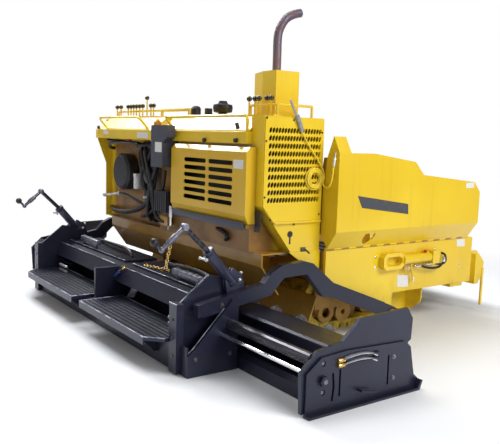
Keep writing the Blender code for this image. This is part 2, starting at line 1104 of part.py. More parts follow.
# Drum and filter in the left rear recess, on the bulkhead
drum_front = bulkhead_left - seat
drum_rear = -1.265
drum_step = 0.02
drum = turned(
    (drum_centre[0], drum_front, drum_centre[1]),
    (0, -1, 0),
    [
        (0, drum_radius - drum_step),
        (drum_step, drum_radius),
        (drum_front - drum_rear - drum_step, drum_radius),
        (drum_front - drum_rear, drum_radius - drum_step),
    ],
    28,
)
node("drum", drum, paint("black plastic", black, 0.4, 0.0), None, True)
filter_x = -0.527
filter_y = -1.205
filter_radius = 0.029
filter_low = 0.866
filter_high = 0.96
filter_head = 0.024
filter_rim = 0.005
oil_filter = union(
    [
        turned(
            (filter_x, filter_y, filter_low),
            (0, 0, 1),
            [
                (0, filter_radius - filter_rim),
                (filter_rim, filter_radius),
                (filter_high - filter_low, filter_radius),
                (filter_high - filter_low + filter_rim, filter_radius - filter_rim),
            ],
            16,
        ),
        block(
            (filter_x - filter_head, filter_x + filter_head),
            (filter_y - filter_head, bulkhead_left - seat),
            (filter_high, filter_high + filter_head),
        ),
    ]
)
node("oil_filter", oil_filter, paint("white canister", canister, 0.4, 0.1), None, True)

# Control box beside the door, with its beacon
control_left = -0.05
control_right = 0.12
control_wide = 0.19
control_rear = -1.335
control_front = -1.275
control_low = 1.065
control_step = 1.235
control_shoulder = 1.275
control_high = 1.355
control = union(
    [
        block(
            (control_left, control_right),
            (control_rear, engine_rear - seat),
            (control_low, lip_low - seat),
        ),
        prism(
            "y",
            [
                (control_left, control_step),
                (control_right, control_step),
                (control_wide, control_shoulder),
                (control_wide, control_high),
                (control_left, control_high),
            ],
            control_rear,
            control_front,
        ),
    ]
)
node("control_box", control, paint("dark grey box", steel_blue, 0.5, 0.1))
beacon_centre = (-0.012, -1.305)
beacon_radius = 0.028
beacon_height = 0.034
beacon_base = 0.008
beacon = turned(
    (beacon_centre[0], beacon_centre[1], control_high + seat),
    (0, 0, 1),
    [
        (0, beacon_radius),
        (beacon_base, beacon_radius),
        (beacon_base + beacon_height / 2, beacon_radius * 0.85),
        (beacon_base + beacon_height, beacon_radius * 0.3),
    ],
    16,
)
node("beacon", beacon, paint("amber lens", amber, 0.2, 0.0), None, True)

# Ribbed service box under the control box, and the lift ram beside it
service_left = -0.085
service_right = 0.10
service_rear = -1.285
service_low = 0.746
service_high = 0.894
service_ribs = 6
rib_depth = 0.012
rib_share = 0.6
service_outline = [(service_left, engine_rear - seat)]
service_pitch = (service_right - service_left) / service_ribs
for index in range(service_ribs):
    start = service_left + service_pitch * index
    service_outline += [
        (start, service_rear),
        (start + service_pitch * rib_share, service_rear),
        (start + service_pitch * rib_share, service_rear + rib_depth),
        (start + service_pitch, service_rear + rib_depth),
    ]
service_outline.append((service_right, engine_rear - seat))
service = prism("z", service_outline, service_low, service_high)
node("service_box", service, paint("black plastic", black, 0.4, 0.0))
ram_centre = (0.122, -1.262)
ram_low = 0.640
ram_joint = 0.72
ram_high = 0.80
ram_radius = 0.008
ram_barrel = 0.013
ram_eye = 0.020
ram_half = 0.011
ram_bracket = 0.016
ram = union(
    [
        rod((*ram_centre, ram_low), (*ram_centre, ram_high), ram_radius, 12),
        rod((*ram_centre, ram_joint), (*ram_centre, ram_high), ram_barrel, 12),
        disc("x", (ram_centre[1], ram_low), ram_eye, ram_centre[0] - ram_half, ram_centre[0] + ram_half, 14),
        block(
            (ram_centre[0] - ram_half, ram_centre[0] + ram_half),
            (ram_centre[1], engine_rear - seat),
            (ram_low - ram_bracket / 2, ram_low + ram_bracket / 2),
        ),
        block(
            (ram_centre[0] - ram_half, ram_centre[0] + ram_half),
            (ram_centre[1], engine_rear - seat),
            (ram_high - ram_bracket, ram_high),
        ),
    ]
)
node("lift_ram", ram, paint("chrome", chrome, 0.1, 1.0), None, True)

# Hydraulic hoses: they leave a manifold in the recess and end on the walls below it
hose_radius = 0.0125
hose_steps = 3
manifold_ends = (-0.45, -0.30)
manifold_rear = -1.195
manifold_low = 1.165
manifold_high = 1.235
hose_routes = [
    [
        (-0.42, -1.185, 1.19), (-0.42, -1.235, 1.16), (-0.385, -1.25, 1.08), (-0.33, -1.25, 0.95),
        (-0.29, -1.245, 0.82), (-0.25, -1.235, 0.71), (-0.24, -1.20, 0.652), (-0.24, -1.175, 0.65),
        (-0.24, -1.165, 0.65), (-0.24, -1.1603, 0.65),
    ],
    [
        (-0.38, -1.185, 1.20), (-0.365, -1.25, 1.18), (-0.30, -1.268, 1.07), (-0.235, -1.262, 0.95),
        (-0.19, -1.255, 0.83), (-0.17, -1.24, 0.73), (-0.178, -1.205, 0.672), (-0.18, -1.175, 0.668),
        (-0.18, -1.165, 0.668), (-0.18, -1.1603, 0.668),
    ],
    [
        (-0.34, -1.185, 1.20), (-0.31, -1.245, 1.19), (-0.23, -1.28, 1.09), (-0.165, -1.28, 0.98),
        (-0.125, -1.275, 0.86), (-0.105, -1.27, 0.745), (-0.06, -1.265, 0.69), (0.0, -1.26, 0.675),
        (0.036, -1.245, 0.675), (0.04, -1.225, 0.675), (0.04, -1.217, 0.675), (0.04, -1.2103, 0.675),
    ],
    [
        (-0.36, -1.185, 1.175), (-0.355, -1.222, 1.10), (-0.35, -1.22, 0.98), (-0.33, -1.215, 0.86),
        (-0.305, -1.205, 0.76), (-0.31, -1.195, 0.705), (-0.315, -1.175, 0.685), (-0.315, -1.165, 0.685),
        (-0.315, -1.1603, 0.685),
    ],
    [
        (-0.44, -1.185, 1.21), (-0.49, -1.235, 1.22), (-0.65, -1.25, 1.225), (-0.85, -1.25, 1.22),
        (-0.98, -1.235, 1.205), (-1.04, -1.205, 1.175), (-1.05, -1.175, 1.17), (-1.05, -1.165, 1.17),
        (-1.05, -1.1603, 1.17),
    ],
]
hoses = [block(manifold_ends, (manifold_rear, bulkhead_left - seat), (manifold_low, manifold_high))]
for route in hose_routes:
    hoses.append(swept(smooth_route(route, hose_steps), hose_radius, 8))
node("hose_bundle", union(hoses), paint("hose rubber", rubber, 0.45, 0.0), None, True)

# Wash-down lance on the right side panel, its coiled hose and the nozzle
panel_face = body_half + seat + panel_wall
lance_sleeve = 0.013
lance_radius = 0.007
lance_x = panel_face + seat + lance_sleeve
lance_high = (-1.042, 1.511)
lance_joint = (-0.988, 1.427)
lance_low = (-0.945, 1.335)
lance = union(
    [
        rod((lance_x, *lance_high), (lance_x, *lance_low), lance_radius, 10),
        rod((lance_x, *lance_joint), (lance_x, *lance_low), lance_sleeve, 14),
    ]
)
node("wash_lance", lance, paint("lance grey", canister, 0.35, 0.3), None, True)
wash_radius = 0.005
coil_centre = (-0.831, 1.052)
coil_outer = 0.0745
coil_inner = 0.029
coil_width = 0.023
coil_near = panel_face + seat
coil_far = coil_near + coil_width
coil = carve(
    disc("x", coil_centre, coil_outer, coil_near, coil_far, 28),
    [disc("x", coil_centre, coil_inner, coil_near - overrun, coil_far + overrun, 28)],
)
node("wash_coil", coil, paint("hose yellow", yellow, 0.4, 0.0), None, True)


def cord_tube(name, points):
    # A cord's tube: a smooth curve with a round section and closed ends.
    curve = bpy.data.curves.new(name, "CURVE")
    curve.dimensions = "3D"
    curve.bevel_depth = wash_radius
    curve.bevel_resolution = 2
    curve.use_fill_caps = True
    spline = curve.splines.new("POLY")
    spline.points.add(len(points) - 1)
    for index, point in enumerate(points):
        spline.points[index].co = (*point, 1)
    tube = bpy.data.objects.new(name, curve)
    scene.collection.objects.link(tube)
    curve.materials.append(paint("hose yellow", yellow, 0.4, 0.0))
    return tube


fall_steps = 2
fall_route = [
    (1.1396, -0.94487, 1.33473), (1.1396, -0.93979, 1.32386), (1.1396, -0.93471, 1.31299),
    (1.1396, -0.8900, 1.2540), (1.1396, -0.8250, 1.1800), (1.1396, -0.7769, 1.1179),
    (1.1396, -0.7694, 1.1049), (1.1396, -0.7619, 1.0919),
]
cord_tube("wash_hose", smooth_route(fall_route, fall_steps))
tail_steps = 2
tail_route = [
    (1.1499, -0.80, 1.010), (1.156, -0.80, 1.010), (1.162, -0.80, 1.010), (1.192, -0.792, 1.012),
    (1.214, -0.778, 1.035), (1.225, -0.766, 1.078), (1.2276, -0.765, 1.1072), (1.2291, -0.765, 1.1171),
    (1.23056, -0.765, 1.1267),
]
cord_tube("wash_tail", smooth_route(tail_route, tail_steps))
nozzle_low = (1.2306, -0.765, 1.127)
nozzle_high = (1.2450, -0.765, 1.223)
nozzle_shares = [(0, 0.7), (0.12, 1), (0.5, 1), (0.56, 0.6), (0.9, 0.6), (1, 0.4)]
nozzle_radius = 0.010
nozzle_direction = Vector(nozzle_high) - Vector(nozzle_low)
nozzle = turned(
    nozzle_low,
    nozzle_direction,
    [(nozzle_direction.length * up, nozzle_radius * out) for up, out in nozzle_shares],
    12,
)
node("wash_nozzle", nozzle, paint("chrome", chrome, 0.1, 1.0), None, True)

# Exhaust box and stack
exhaust_inset = 0.06
exhaust_width = 0.32
exhaust_face = 0.14
exhaust_right = cover_inner - exhaust_inset
exhaust_left = exhaust_right - exhaust_width
exhaust_knee = exhaust_right - exhaust_face
exhaust_rear = -1.00
exhaust_side = -0.93
exhaust_front = -0.82
exhaust_high = 1.70
exhaust = prism(
    "z",
    [
        (exhaust_knee, exhaust_rear),
        (exhaust_right, exhaust_rear),
        (exhaust_right, exhaust_front),
        (exhaust_left, exhaust_front),
        (exhaust_left, exhaust_side),
    ],
    hood_height + seat,
    exhaust_high,
)
node("exhaust_box", exhaust, yellow_paint())
stack_inset = 0.13
stack_x = exhaust_right - stack_inset
stack_y = -0.90
stack_radius = 0.027
stack_top = 2.085
stack_run = 0.174
stack_bore = 0.022
stack_shares = [(0, 0), (0, 0.31), (0, 0.55), (0.08, 0.70), (0.34, 0.87), (0.69, 0.96), (1, 1)]
bore_share = 0.2
stack_route = [
    (stack_x, y, z)
    for y, z in spread(
        stack_shares,
        (stack_y, exhaust_high + seat),
        (stack_y + stack_run, stack_top),
    )
]
stack_points = smooth_route(stack_route, 2)
stack = swept(stack_points, stack_radius, 14)
bore_route = stack_points[6:]
bore_route[-1] = bore_route[-1] + (bore_route[-1] - bore_route[-2]) * bore_share
stack = carve(stack, [swept(bore_route, stack_bore, 14)])
node("exhaust_stack", stack, paint("scorched steel", stack_grey, 0.5, 0.8), None, True)

# Pre-cleaner, filler dome and valve box on the hood
cleaner_x = 0.23
cleaner_y = -0.92
cleaner_radius = 0.070
cleaner_height = 0.122
cleaner_shares = [(0, 0.45), (0.3, 0.45), (0.36, 0.92), (0.6, 1), (0.78, 0.94), (0.84, 0.5), (1, 0.38)]
cleaner = turned(
    (cleaner_x, cleaner_y, hood_height + seat),
    (0, 0, 1),
    [(cleaner_height * up, cleaner_radius * out) for up, out in cleaner_shares],
    24,
)
node("pre_cleaner", cleaner, paint("black plastic", black, 0.4, 0.0), None, True)
cap_x = -0.138
cap_radius = 0.037
cap_height = 0.095
cap_shares = [(0, 0.8), (0.25, 0.8), (0.3, 1), (0.8, 1), (0.94, 0.75), (1, 0.4)]
cap = turned(
    (cap_x, cleaner_y, hood_height + seat),
    (0, 0, 1),
    [(cap_height * up, cap_radius * out) for up, out in cap_shares],
    16,
)
node("filler_cap", cap, paint("black plastic", black, 0.4, 0.0), None, True)
valve_x = 0.04
valve_half = 0.02
valve_height = 0.075
valve_bevel = 0.006
valve = prism(
    "y",
    [
        (valve_x - valve_half, hood_height + seat),
        (valve_x - valve_half, hood_height + valve_height - valve_bevel),
        (valve_x - valve_half + valve_bevel, hood_height + valve_height),
        (valve_x + valve_half - valve_bevel, hood_height + valve_height),
        (valve_x + valve_half, hood_height + valve_height - valve_bevel),
        (valve_x + valve_half, hood_height + seat),
    ],
    cleaner_y - valve_half,
    cleaner_y + valve_half,
)
node("valve_box", valve, paint("black plastic", black, 0.4, 0.0))

# Lever banks: levers with ball knobs and a guard bar, on a base on the hood
lever_radius = 0.006
knob_radius = 0.016
bar_radius = 0.008
base_half = 0.022
base_height = 0.012
bank_base = hood_height + seat


def lever(x, y, foot, top):
    return [
        rod((x, y, foot), (x, y, top), lever_radius, 4),
        turned(
            (x, y, top - knob_radius),
            (0, 0, 1),
            [
                (0, knob_radius * 0.5),
                (knob_radius * 0.5, knob_radius),
                (knob_radius * 1.5, knob_radius),
                (knob_radius * 2, knob_radius * 0.5),
            ],
            6,
        ),
    ]


def guard_bar(corners, height, radius):
    # A level bar through its corners, with a post at each end.
    pieces = []
    for index in range(len(corners) - 1):
        pieces.append(rod((*corners[index], height), (*corners[index + 1], height), radius, 8))
    for corner in corners:
        pieces.append(rod((*corner, bank_base), (*corner, height), radius, 8))
    return pieces


bank_inset = 0.037
bank_left = bank_inset - body_half
bank_right = -0.31
bank_y = -1.135
bank_top = 1.508
bank_bar = 1.470
tall_top = 1.568
bank_setback = 0.024
left_lever_shares = [0.025, 0.12, 0.30, 0.365, 0.43, 0.495, 0.567, 0.638, 0.82, 0.877]
tall_lever_share = 0.735
guard_end = 0.095
left_bank = [
    block(
        (bank_left, bank_right + base_half),
        (bank_y - base_half, bank_y + 2 * base_half),
        (bank_base, bank_base + base_height),
    )
]
bank_length = bank_right - bank_left
for share in left_lever_shares:
    left_bank += lever(bank_left + bank_length * share, bank_y, bank_base + base_height / 2, bank_top)
left_bank += lever(
    bank_left + bank_length * tall_lever_share,
    bank_y,
    bank_base + base_height / 2,
    tall_top,
)
bar_line = bank_y + bank_setback
left_bank += guard_bar([(bank_left, bar_line), (bank_right, bar_line)], bank_bar, bar_radius)
left_bank += guard_bar([(bank_right, bar_line), (guard_end, bar_line)], bank_bar, 1.4 * bar_radius)
node("lever_bank_left", union(left_bank), yellow_paint(), None, True)
right_overhang = 0.05
right_length = 0.275
right_right = cover_inner + right_overhang
right_left = right_right - right_length
right_y = -1.09
right_top = 1.525
right_bar = 1.486
right_front = -0.80
right_lever_shares = [0.06, 0.28, 0.43, 0.73, 0.88]
right_bank = [
    block(
        (right_left - base_half, right_right + base_half),
        (right_y - base_half, right_y + 2 * base_half),
        (bank_base, bank_base + base_height),
    )
]
for share in right_lever_shares:
    right_bank += lever(
        right_left + (right_right - right_left) * share,
        right_y,
        bank_base + base_height / 2,
        right_top,
    )
right_bank += guard_bar(
    [
        (right_left, right_y + bank_setback),
        (right_right, right_y + bank_setback),
        (right_right, right_front),
    ],
    right_bar,
    bar_radius,
)
node("lever_bank_right", union(right_bank), yellow_paint(), None, True)

# Tracks: one closed loop each, with its pads in the outline
pad_share = 0.80
pad_count = 34
pad_inner = track_inner
pad_outer = track_outer
chain_half = 0.055
track_middle = (track_inner + track_outer) / 2


def belt_point(distance, radius, length, axle_back, height):
    # A point at a height above the pitch line, along a loop round two equal wheels.
    straight = length
    half_turn = math.pi * sprocket_radius
    total = 2 * straight + 2 * half_turn
    distance = distance % total
    if distance < straight:
        return (axle_back + distance, height - radius)
    distance -= straight
    if distance < half_turn:
        angle = -math.pi / 2 + distance / sprocket_radius
        return (axle_back + straight + radius * math.cos(angle), height + radius * math.sin(angle))
    distance -= half_turn
    if distance < straight:
        return (axle_back + straight - distance, height + radius)
    distance -= straight
    angle = math.pi / 2 + distance / sprocket_radius
    return (axle_back + radius * math.cos(angle), height + radius * math.sin(angle))


def padded_outline(low, high):
    length = axle_front[0] - axle_rear[0]
    pitch = (2 * length + 2 * math.pi * sprocket_radius) / pad_count
    points = []
    for index in range(pad_count):
        start = pitch * index
        for distance, radius in ((0, low), (0, high), (pad_share, high), (pad_share, low)):
            points.append(belt_point(start + pitch * distance, radius, length, axle_rear[0], drum_height))
    return points


outer_radius = sprocket_radius + chain_thick
track = prism("x", padded_outline(outer_radius, outer_radius + pad_height), pad_inner, pad_outer)
arc_steps = 12
inner_outline = arc(axle_front, sprocket_radius, -90, 90, arc_steps) + arc(axle_rear, sprocket_radius, 90, 270, arc_steps)
track = carve(track, [prism("x", inner_outline, pad_inner - overrun, pad_outer + overrun)])
pair("track", track, paint("urethane pads", urethane, 0.5, 0.0))

# Track frames with the sprocket, the idler and the rollers
wheel_clear = 0.004
wheel_radius = sprocket_radius - wheel_clear
wheel_half = 0.035
wheel_taper = 0.01
rim_half = 0.06
rim_radius = 0.105
hub_radius = 0.05
roller_radius = 0.05
roller_count = 4
beam_low = 0.14
beam_high = 0.29
beam_half = 0.045
track_pieces = []
axle_height = drum_height
for y in (axle_rear[0], axle_front[0]):
    track_pieces.append(
        turned(
            (track_middle - rim_half, y, axle_height),
            (1, 0, 0),
            [
                (0, rim_radius),
                (rim_half - wheel_half, rim_radius),
                (rim_half - wheel_half + wheel_taper, wheel_radius),
                (rim_half + wheel_half - wheel_taper, wheel_radius),
                (rim_half + wheel_half, rim_radius),
                (2 * rim_half, rim_radius),
            ],
            18,
        )
    )
    track_pieces.append(
        disc("x", (y, axle_height), hub_radius, track_inner - axle_gap + seat, track_middle + rim_half + axle_gap, 12)
    )
track_pieces.append(
    block(
        (track_middle - beam_half, track_middle + beam_half),
        (axle_rear[0], axle_front[0]),
        (beam_low, beam_high),
    )
)
roller_pitch = (axle_front[0] - axle_rear[0]) / (roller_count + 1)
roller_height = drum_height - sprocket_radius + seat + roller_radius
for index in range(roller_count):
    y = axle_rear[0] + roller_pitch * (index + 1)
    track_pieces.append(
        disc("x", (y, roller_height), roller_radius, track_middle - rim_half, track_middle + rim_half, 12)
    )
pair("track_frame", union(track_pieces), yellow_paint(), None, True)

# Truck-push frame at the front, with two free rollers
push_half = 1.00
push_flange_half = 1.115
push_beam_front = 0.862
push_low = 0.222
push_high = 0.455
push_wall = 0.012
push_tip = 1.05
push_cut = 0.035
roller_y = 0.99
roller_z = 0.335
push_roller_radius = 0.08
push_roller_inner = 0.10
push_roller_outer = 0.93
push_pin = 0.018
arm_wall = 0.02
hook_reach = 0.09
hook_low = 0.30
hook_high = 0.39
strap_low = 0.05
strap_high = 0.34
strap_width = 0.02
push_pieces = [
    block((-push_half, push_half), (push_rear, push_rear + push_wall), (push_low, push_high)),
    block(
        (-push_flange_half, push_flange_half),
        (push_beam_front - push_wall, push_beam_front),
        (push_low, push_high),
    ),
    block((-push_half, push_half), (push_rear, push_beam_front), (push_high - push_wall, push_high)),
]
for side in (-1, 1):
    for x in (push_half - arm_wall / 2, push_roller_inner / 2):
        push_pieces.append(
            prism(
                "x",
                [
                    (push_rear, push_low),
                    (push_rear, push_high),
                    (push_tip - push_cut, push_high),
                    (push_tip, push_high - push_cut),
                    (push_tip, push_low + push_cut),
                    (push_tip - push_cut, push_low),
                ],
                side * x - arm_wall / 2,
                side * x + arm_wall / 2,
            )
        )
    push_pieces.append(
        disc(
            "x",
            (roller_y, roller_z),
            push_pin,
            side * (push_roller_inner / 2),
            side * (push_half - arm_wall / 2),
            12,
        )
    )
    # The outer hook plate with its hanging strap
    push_pieces.append(
        prism(
            "x",
            [
                (push_beam_front - push_wall, push_low),
                (push_beam_front - push_wall, push_high),
                (push_beam_front + hook_reach / 3, push_high),
                (push_beam_front + hook_reach, hook_high),
                (push_beam_front + hook_reach, hook_low),
                (push_beam_front + hook_reach / 3, push_low),
            ],
            side * (push_flange_half - push_wall),
            side * push_flange_half,
        )
    )
    push_pieces.append(
        block(
            sorted((side * (push_flange_half - push_wall / 2), side * (push_flange_half + push_wall / 2))),
            (push_beam_front + hook_reach - strap_width, push_beam_front + hook_reach),
            (strap_low, strap_high),
        )
    )
node("push_frame", union(push_pieces), yellow_paint())
roller_bore = push_pin + slide
push_roller = carve(
    disc("x", (roller_y, roller_z), push_roller_radius, push_roller_inner, push_roller_outer, 24),
    [disc("x", (roller_y, roller_z), roller_bore, push_roller_inner - overrun, push_roller_outer + overrun, 16)],
)
pair(
    "push_roller",
    push_roller,
    paint("worn steel", bare, 0.45, 0.9),
    ((push_roller_inner + push_roller_outer) / 2, roller_y, roller_z),
    True,
)

# Augers: a shaft with one helical flight on each side, hung from a middle drive case
auger_y = -1.08
auger_z = 0.165
auger_radius = 0.118
auger_shaft = 0.024
auger_inner = 0.065
auger_outer = 1.64
auger_pitch = 0.24
flight_wall = 0.008
flight_steps = 10
case_half = 0.045
case_front = -1.01
case_radius = 0.07
auger_tip = 0.01
root_share = 0.8


def auger(inner, outer, hand):
    turns = (outer - inner - flight_wall) / auger_pitch
    steps = max(3, round(turns * flight_steps))
    data = bpy.data.meshes.new("flight")
    points = []
    faces = []
    root = auger_shaft * root_share
    for step in range(steps + 1):
        angle = math.tau * turns * step / steps * hand
        x = inner + (outer - inner - flight_wall) * step / steps
        for radius, depth in ((root, 0), (auger_radius, 0), (auger_radius, flight_wall), (root, flight_wall)):
            points.append((x + depth, auger_y + radius * math.cos(angle), auger_z + radius * math.sin(angle)))
    for step in range(steps):
        low = 4 * step
        for side in range(4):
            after = (side + 1) % 4
            faces.append((low + side, low + after, low + 4 + after))
            faces.append((low + side, low + 4 + after, low + 4 + side))
    faces.append((0, 1, 2, 3))
    faces.append((4 * steps, 4 * steps + 1, 4 * steps + 2, 4 * steps + 3))
    data.from_pydata(points, [], faces)
    shaft = disc("x", (auger_y, auger_z), auger_shaft, case_half + 3 * seat, outer + auger_tip, 8)
    return union([shaft, closed(data)])


pair(
    "auger",
    auger(auger_inner + run, auger_outer, 1),
    paint("worn steel", bare, 0.45, 0.9),
    ((auger_inner + auger_outer) / 2, auger_y, auger_z),
    True,
)
case = union(
    [
        block((-case_half, case_half), (auger_y - case_radius, case_front), (auger_z, apron_low - seat)),
        disc("x", (auger_y, auger_z), case_radius, -case_half, case_half, 20),
    ]
)
node("auger_case", case, yellow_paint())

# Screed: bottom pan, front wall, top plate, ribs and posts, all on the tow arms
pan_wall = 0.012
rear_wall = 0.010
step_height = 0.186
tread_wall = 0.020
rear_wall_high = step_height - tread_wall - seat
deck_top = 0.40
deck_low = deck_top - tread_wall
frame_top = deck_low + pan_wall / 2
front_wall_high = 0.34
deck_inner = 0.06
deck_rear = -1.52
deck_front = -1.27
top_plate_rear = -1.60
rib_inner = 1.13
rib_outer = 1.15
post_inner = 1.105
post_outer = 1.185
post_rear = -1.80
post_front = -1.755
post_high = 0.39
tube_y = -1.50
tube_z = 0.262
tube_radius = 0.032
slide_y = -1.56
slide_z = 0.215
slide_radius = 0.011
screed_inner = screed_half + plate / 2
side_high = 0.40
rib_rear_high = 0.525
rib_front_high = 0.50
rib_crest = 0.02
skirt_fall = 0.10
skirt_lean = 0.035
cylinder_inner = 0.05
side_shares = [
    (0, 0), (0, 0.3), (0.141, 0.387), (0.75, 0.887), (0.875, 1),
    (1, 1), (1, 0),
]
screed_pieces = [
    block((-screed_inner, screed_inner), (screed_rear, screed_front), (ground, pan_wall)),
    block((-screed_inner, screed_inner), (screed_rear, screed_rear + rear_wall), (ground, rear_wall_high)),
    block((-screed_inner, screed_inner), (screed_front - rear_wall, screed_front), (ground, front_wall_high)),
    block((-rib_outer, rib_outer), (screed_front - rear_wall, screed_front), (ground, frame_top)),
    block((-rib_outer, rib_outer), (top_plate_rear, screed_front), (frame_top - pan_wall, frame_top)),
    prism(
        "x",
        [
            (top_plate_rear, frame_top),
            (top_plate_rear - skirt_lean, frame_top - skirt_fall),
            (top_plate_rear - skirt_lean + rear_wall, frame_top - skirt_fall),
            (top_plate_rear + rear_wall, frame_top),
        ],
        -rib_outer,
        rib_outer,
    ),
    block((-plate / 2, plate / 2), (screed_rear, screed_front), (ground, frame_top - pan_wall / 2)),
]
screed_cutters = []
for side in (-1, 1):
    screed_pieces.append(
        prism(
            "x",
            [
                (screed_rear + rear_wall / 2, ground),
                (screed_rear + rear_wall / 2, post_high - pan_wall),
                (top_plate_rear + rib_crest, rib_rear_high),
                (screed_front - rear_wall / 2, rib_front_high),
                (screed_front - rear_wall / 2, ground),
            ],
            side * rib_inner,
            side * rib_outer,
        )
    )
    screed_pieces.append(
        prism(
            "x",
            spread(side_shares, (screed_rear, ground), (screed_front, side_high)),
            side * screed_half,
            side * wing_half,
        )
    )
    screed_pieces.append(
        block(
            sorted((side * deck_inner, side * (rib_inner + rib_outer) / 2)),
            (deck_rear, deck_front),
            (deck_low, deck_top),
        )
    )
    screed_pieces.append(
        block(
            sorted((side * post_inner, side * post_outer)),
            (post_rear, post_front),
            (pan_wall / 2, post_high),
        )
    )
    for centre, radius in ((tube_y, tube_z), tube_radius), ((slide_y, slide_z), slide_radius):
        screed_cutters.append(
            disc("x", centre, radius + slide, side * cylinder_inner, side * (wing_half + overrun), 16)
        )
node("screed_frame", carve(union(screed_pieces), screed_cutters), dark_paint())

# Tow arms: arched plates from the screed to the lugs on the box sides
arm_eye = 0.05
arm_rear = -1.70
arm_front = -0.25
arm_low = 0.135
arm_high = 0.567
arm_shares = [
    (0, 0.579), (0.303, 0.757), (0.341, 0.896), (0.39, 0.977), (0.509, 1),
    (0.552, 0.961), (0.669, 0.648), (0.989, 0.238), (1, 0), (0.679, 0.417),
    (0.614, 0.463), (0.521, 0.817), (0.402, 0.803), (0.334, 0.586), (0.037, 0.424),
    (0, 0.428),
]
eye_tail_shares = [(-2.2, 1.98), (0.5, 0.86), (-0.5, -0.84), (-2.2, 0)]
tow_arm = carve(
    union(
        [
            prism(
                "x",
                spread(arm_shares, (arm_rear, arm_low), (arm_front, arm_high)),
                arm_inner,
                arm_outer,
            ),
            disc("x", (pivot_y, pivot_z), arm_eye, arm_inner, arm_outer, 24),
            prism(
                "x",
                spread(eye_tail_shares, (pivot_y, pivot_z), (pivot_y + arm_eye, pivot_z + arm_eye)),
                arm_inner,
                arm_outer,
            ),
        ]
    ),
    [disc("x", (pivot_y, pivot_z), pin_radius + slide, arm_inner - overrun, arm_outer + overrun, 24)],
)
pair("tow_arm", tow_arm, dark_paint())

# Walkways behind the screed and tread decks over it
walk_inner = 0.07
walk_outer = 1.10
walk_rear = -1.91
walk_front = -1.60
walk_cut = 0.09
walk_lip = 0.045
walk_bracket = 0.02
walk_bracket_low = 0.06
walk_bracket_shares = (0.13, 0.8)
walk_outline = [
    (walk_inner, walk_rear),
    (walk_outer - walk_cut, walk_rear),
    (walk_outer, walk_rear + walk_cut),
    (walk_outer, walk_front),
    (walk_inner, walk_front),
]
walk_pieces = [
    prism("z", walk_outline, step_height - tread_wall, step_height),
    block(
        (walk_inner, walk_outer - walk_cut),
        (walk_rear, walk_rear + rear_wall),
        (step_height - walk_lip, step_height),
    ),
]
for share in walk_bracket_shares:
    x = walk_inner + (walk_outer - walk_inner) * share
    walk_pieces.append(
        prism(
            "x",
            [
                (walk_rear + rear_wall / 2, step_height - tread_wall / 2),
                (screed_rear - seat, step_height - tread_wall / 2),
                (screed_rear - seat, walk_bracket_low),
                (screed_rear - walk_bracket, walk_bracket_low),
            ],
            x,
            x + walk_bracket,
        )
    )
pair("walkway", union(walk_pieces), dark_paint())
# Thickness screws: a bracket, a screw tube and a crank with a ball grip
screw_low = (-1.40, 0.47)
screw_high = (-1.75, 0.805)
screw_x = 1.169
screw_radius = 0.018
collar_radius = 0.024
collar_half = 0.02
crank_radius = 0.011
crank_end_radius = 0.016
crank_end = (-1.885, 0.690)
grip_end = (-1.945, 0.748)
spindle_radius = 0.009
grip_length = 0.083
grip_radius = 0.024
grip_shares = [(0.24, 0.5), (0.42, 0.92), (0.72, 1), (0.96, 0.58)]
bracket_rear = -1.62
bracket_front = -1.33
bracket_low = 0.385
bracket_high = 0.665
bracket_shares = [
    (0, 0.536), (0.069, 0.821), (0.345, 1), (0.69, 0.821), (0.897, 0.411),
    (1, 0.107), (0.759, 0), (0.207, 0.304),
]
jackscrew = union(
    [
        prism(
            "x",
            spread(bracket_shares, (bracket_rear, bracket_low), (bracket_front, bracket_high)),
            rib_outer + seat,
            arm_inner - seat,
        ),
        rod((screw_x, *screw_low), (screw_x, *screw_high), screw_radius, 12),
        disc("x", screw_high, collar_radius, screw_x - collar_half, screw_x + collar_half, 12),
        rod((screw_x, *screw_high), (screw_x, *crank_end), crank_radius, 8, crank_end_radius),
        rod((screw_x, *crank_end), (screw_x, *grip_end), spindle_radius, 8),
        turned(
            (screw_x, *crank_end),
            (0, grip_end[0] - crank_end[0], grip_end[1] - crank_end[1]),
            [(grip_length * along, grip_radius * out) for along, out in grip_shares],
            12,
        ),
    ]
)
pair("jackscrew", jackscrew, dark_paint(), None, True)

# Extensions: a channel beam, guide tubes, the cylinder rod, the end plate and its gate
beam_inner = 0.95
beam_gap = 0.01
beam_rear = screed_front + beam_gap
beam_front = -1.235
beam_height = 0.322
beam_wall = 0.015
beam_bevel = 0.008
ledge_high = 0.095
ledge_edge = 0.070
tube_inner = 0.75
rod_inner = 0.98
extension_beam = prism(
    "x",
    [
        (beam_rear, ground),
        (beam_front, ground),
        (beam_front, beam_height),
        (beam_rear + 2 * beam_wall, beam_height),
        (beam_rear + beam_wall, beam_height - beam_bevel),
        (beam_rear + beam_wall, beam_height - beam_wall),
        (beam_front - beam_wall, beam_height - beam_wall),
        (beam_front - beam_wall, ledge_high),
        (beam_rear + 2 * beam_wall, ledge_high),
        (beam_rear, ledge_edge),
    ],
    beam_inner,
    reach + plate / 2,
)
pair(
    "guide_tube",
    disc("x", (tube_y, tube_z), tube_radius, tube_inner, reach - seat, 16),
    paint("worn dark steel", steel_blue, 0.25, 0.8),
    None,
    True,
)
pair(
    "slide_rod",
    disc("x", (slide_y, slide_z), slide_radius, rod_inner, reach - seat, 16),
    paint("chrome", chrome, 0.1, 1.0),
    None,
    True,
)
end_outer = reach + plate
end_rear = -1.585
end_front = -0.837
end_low = 0.015
end_high = 0.440
end_shares = [
    (0.013, 0), (0, 0.471), (0.127, 0.682), (0.287, 0.729), (0.344, 0.741),
    (0.495, 0.972), (0.943, 1), (1, 0.859), (0.992, 0.598), (0.963, 0.567),
    (0.963, 0.153), (0.916, 0),
]
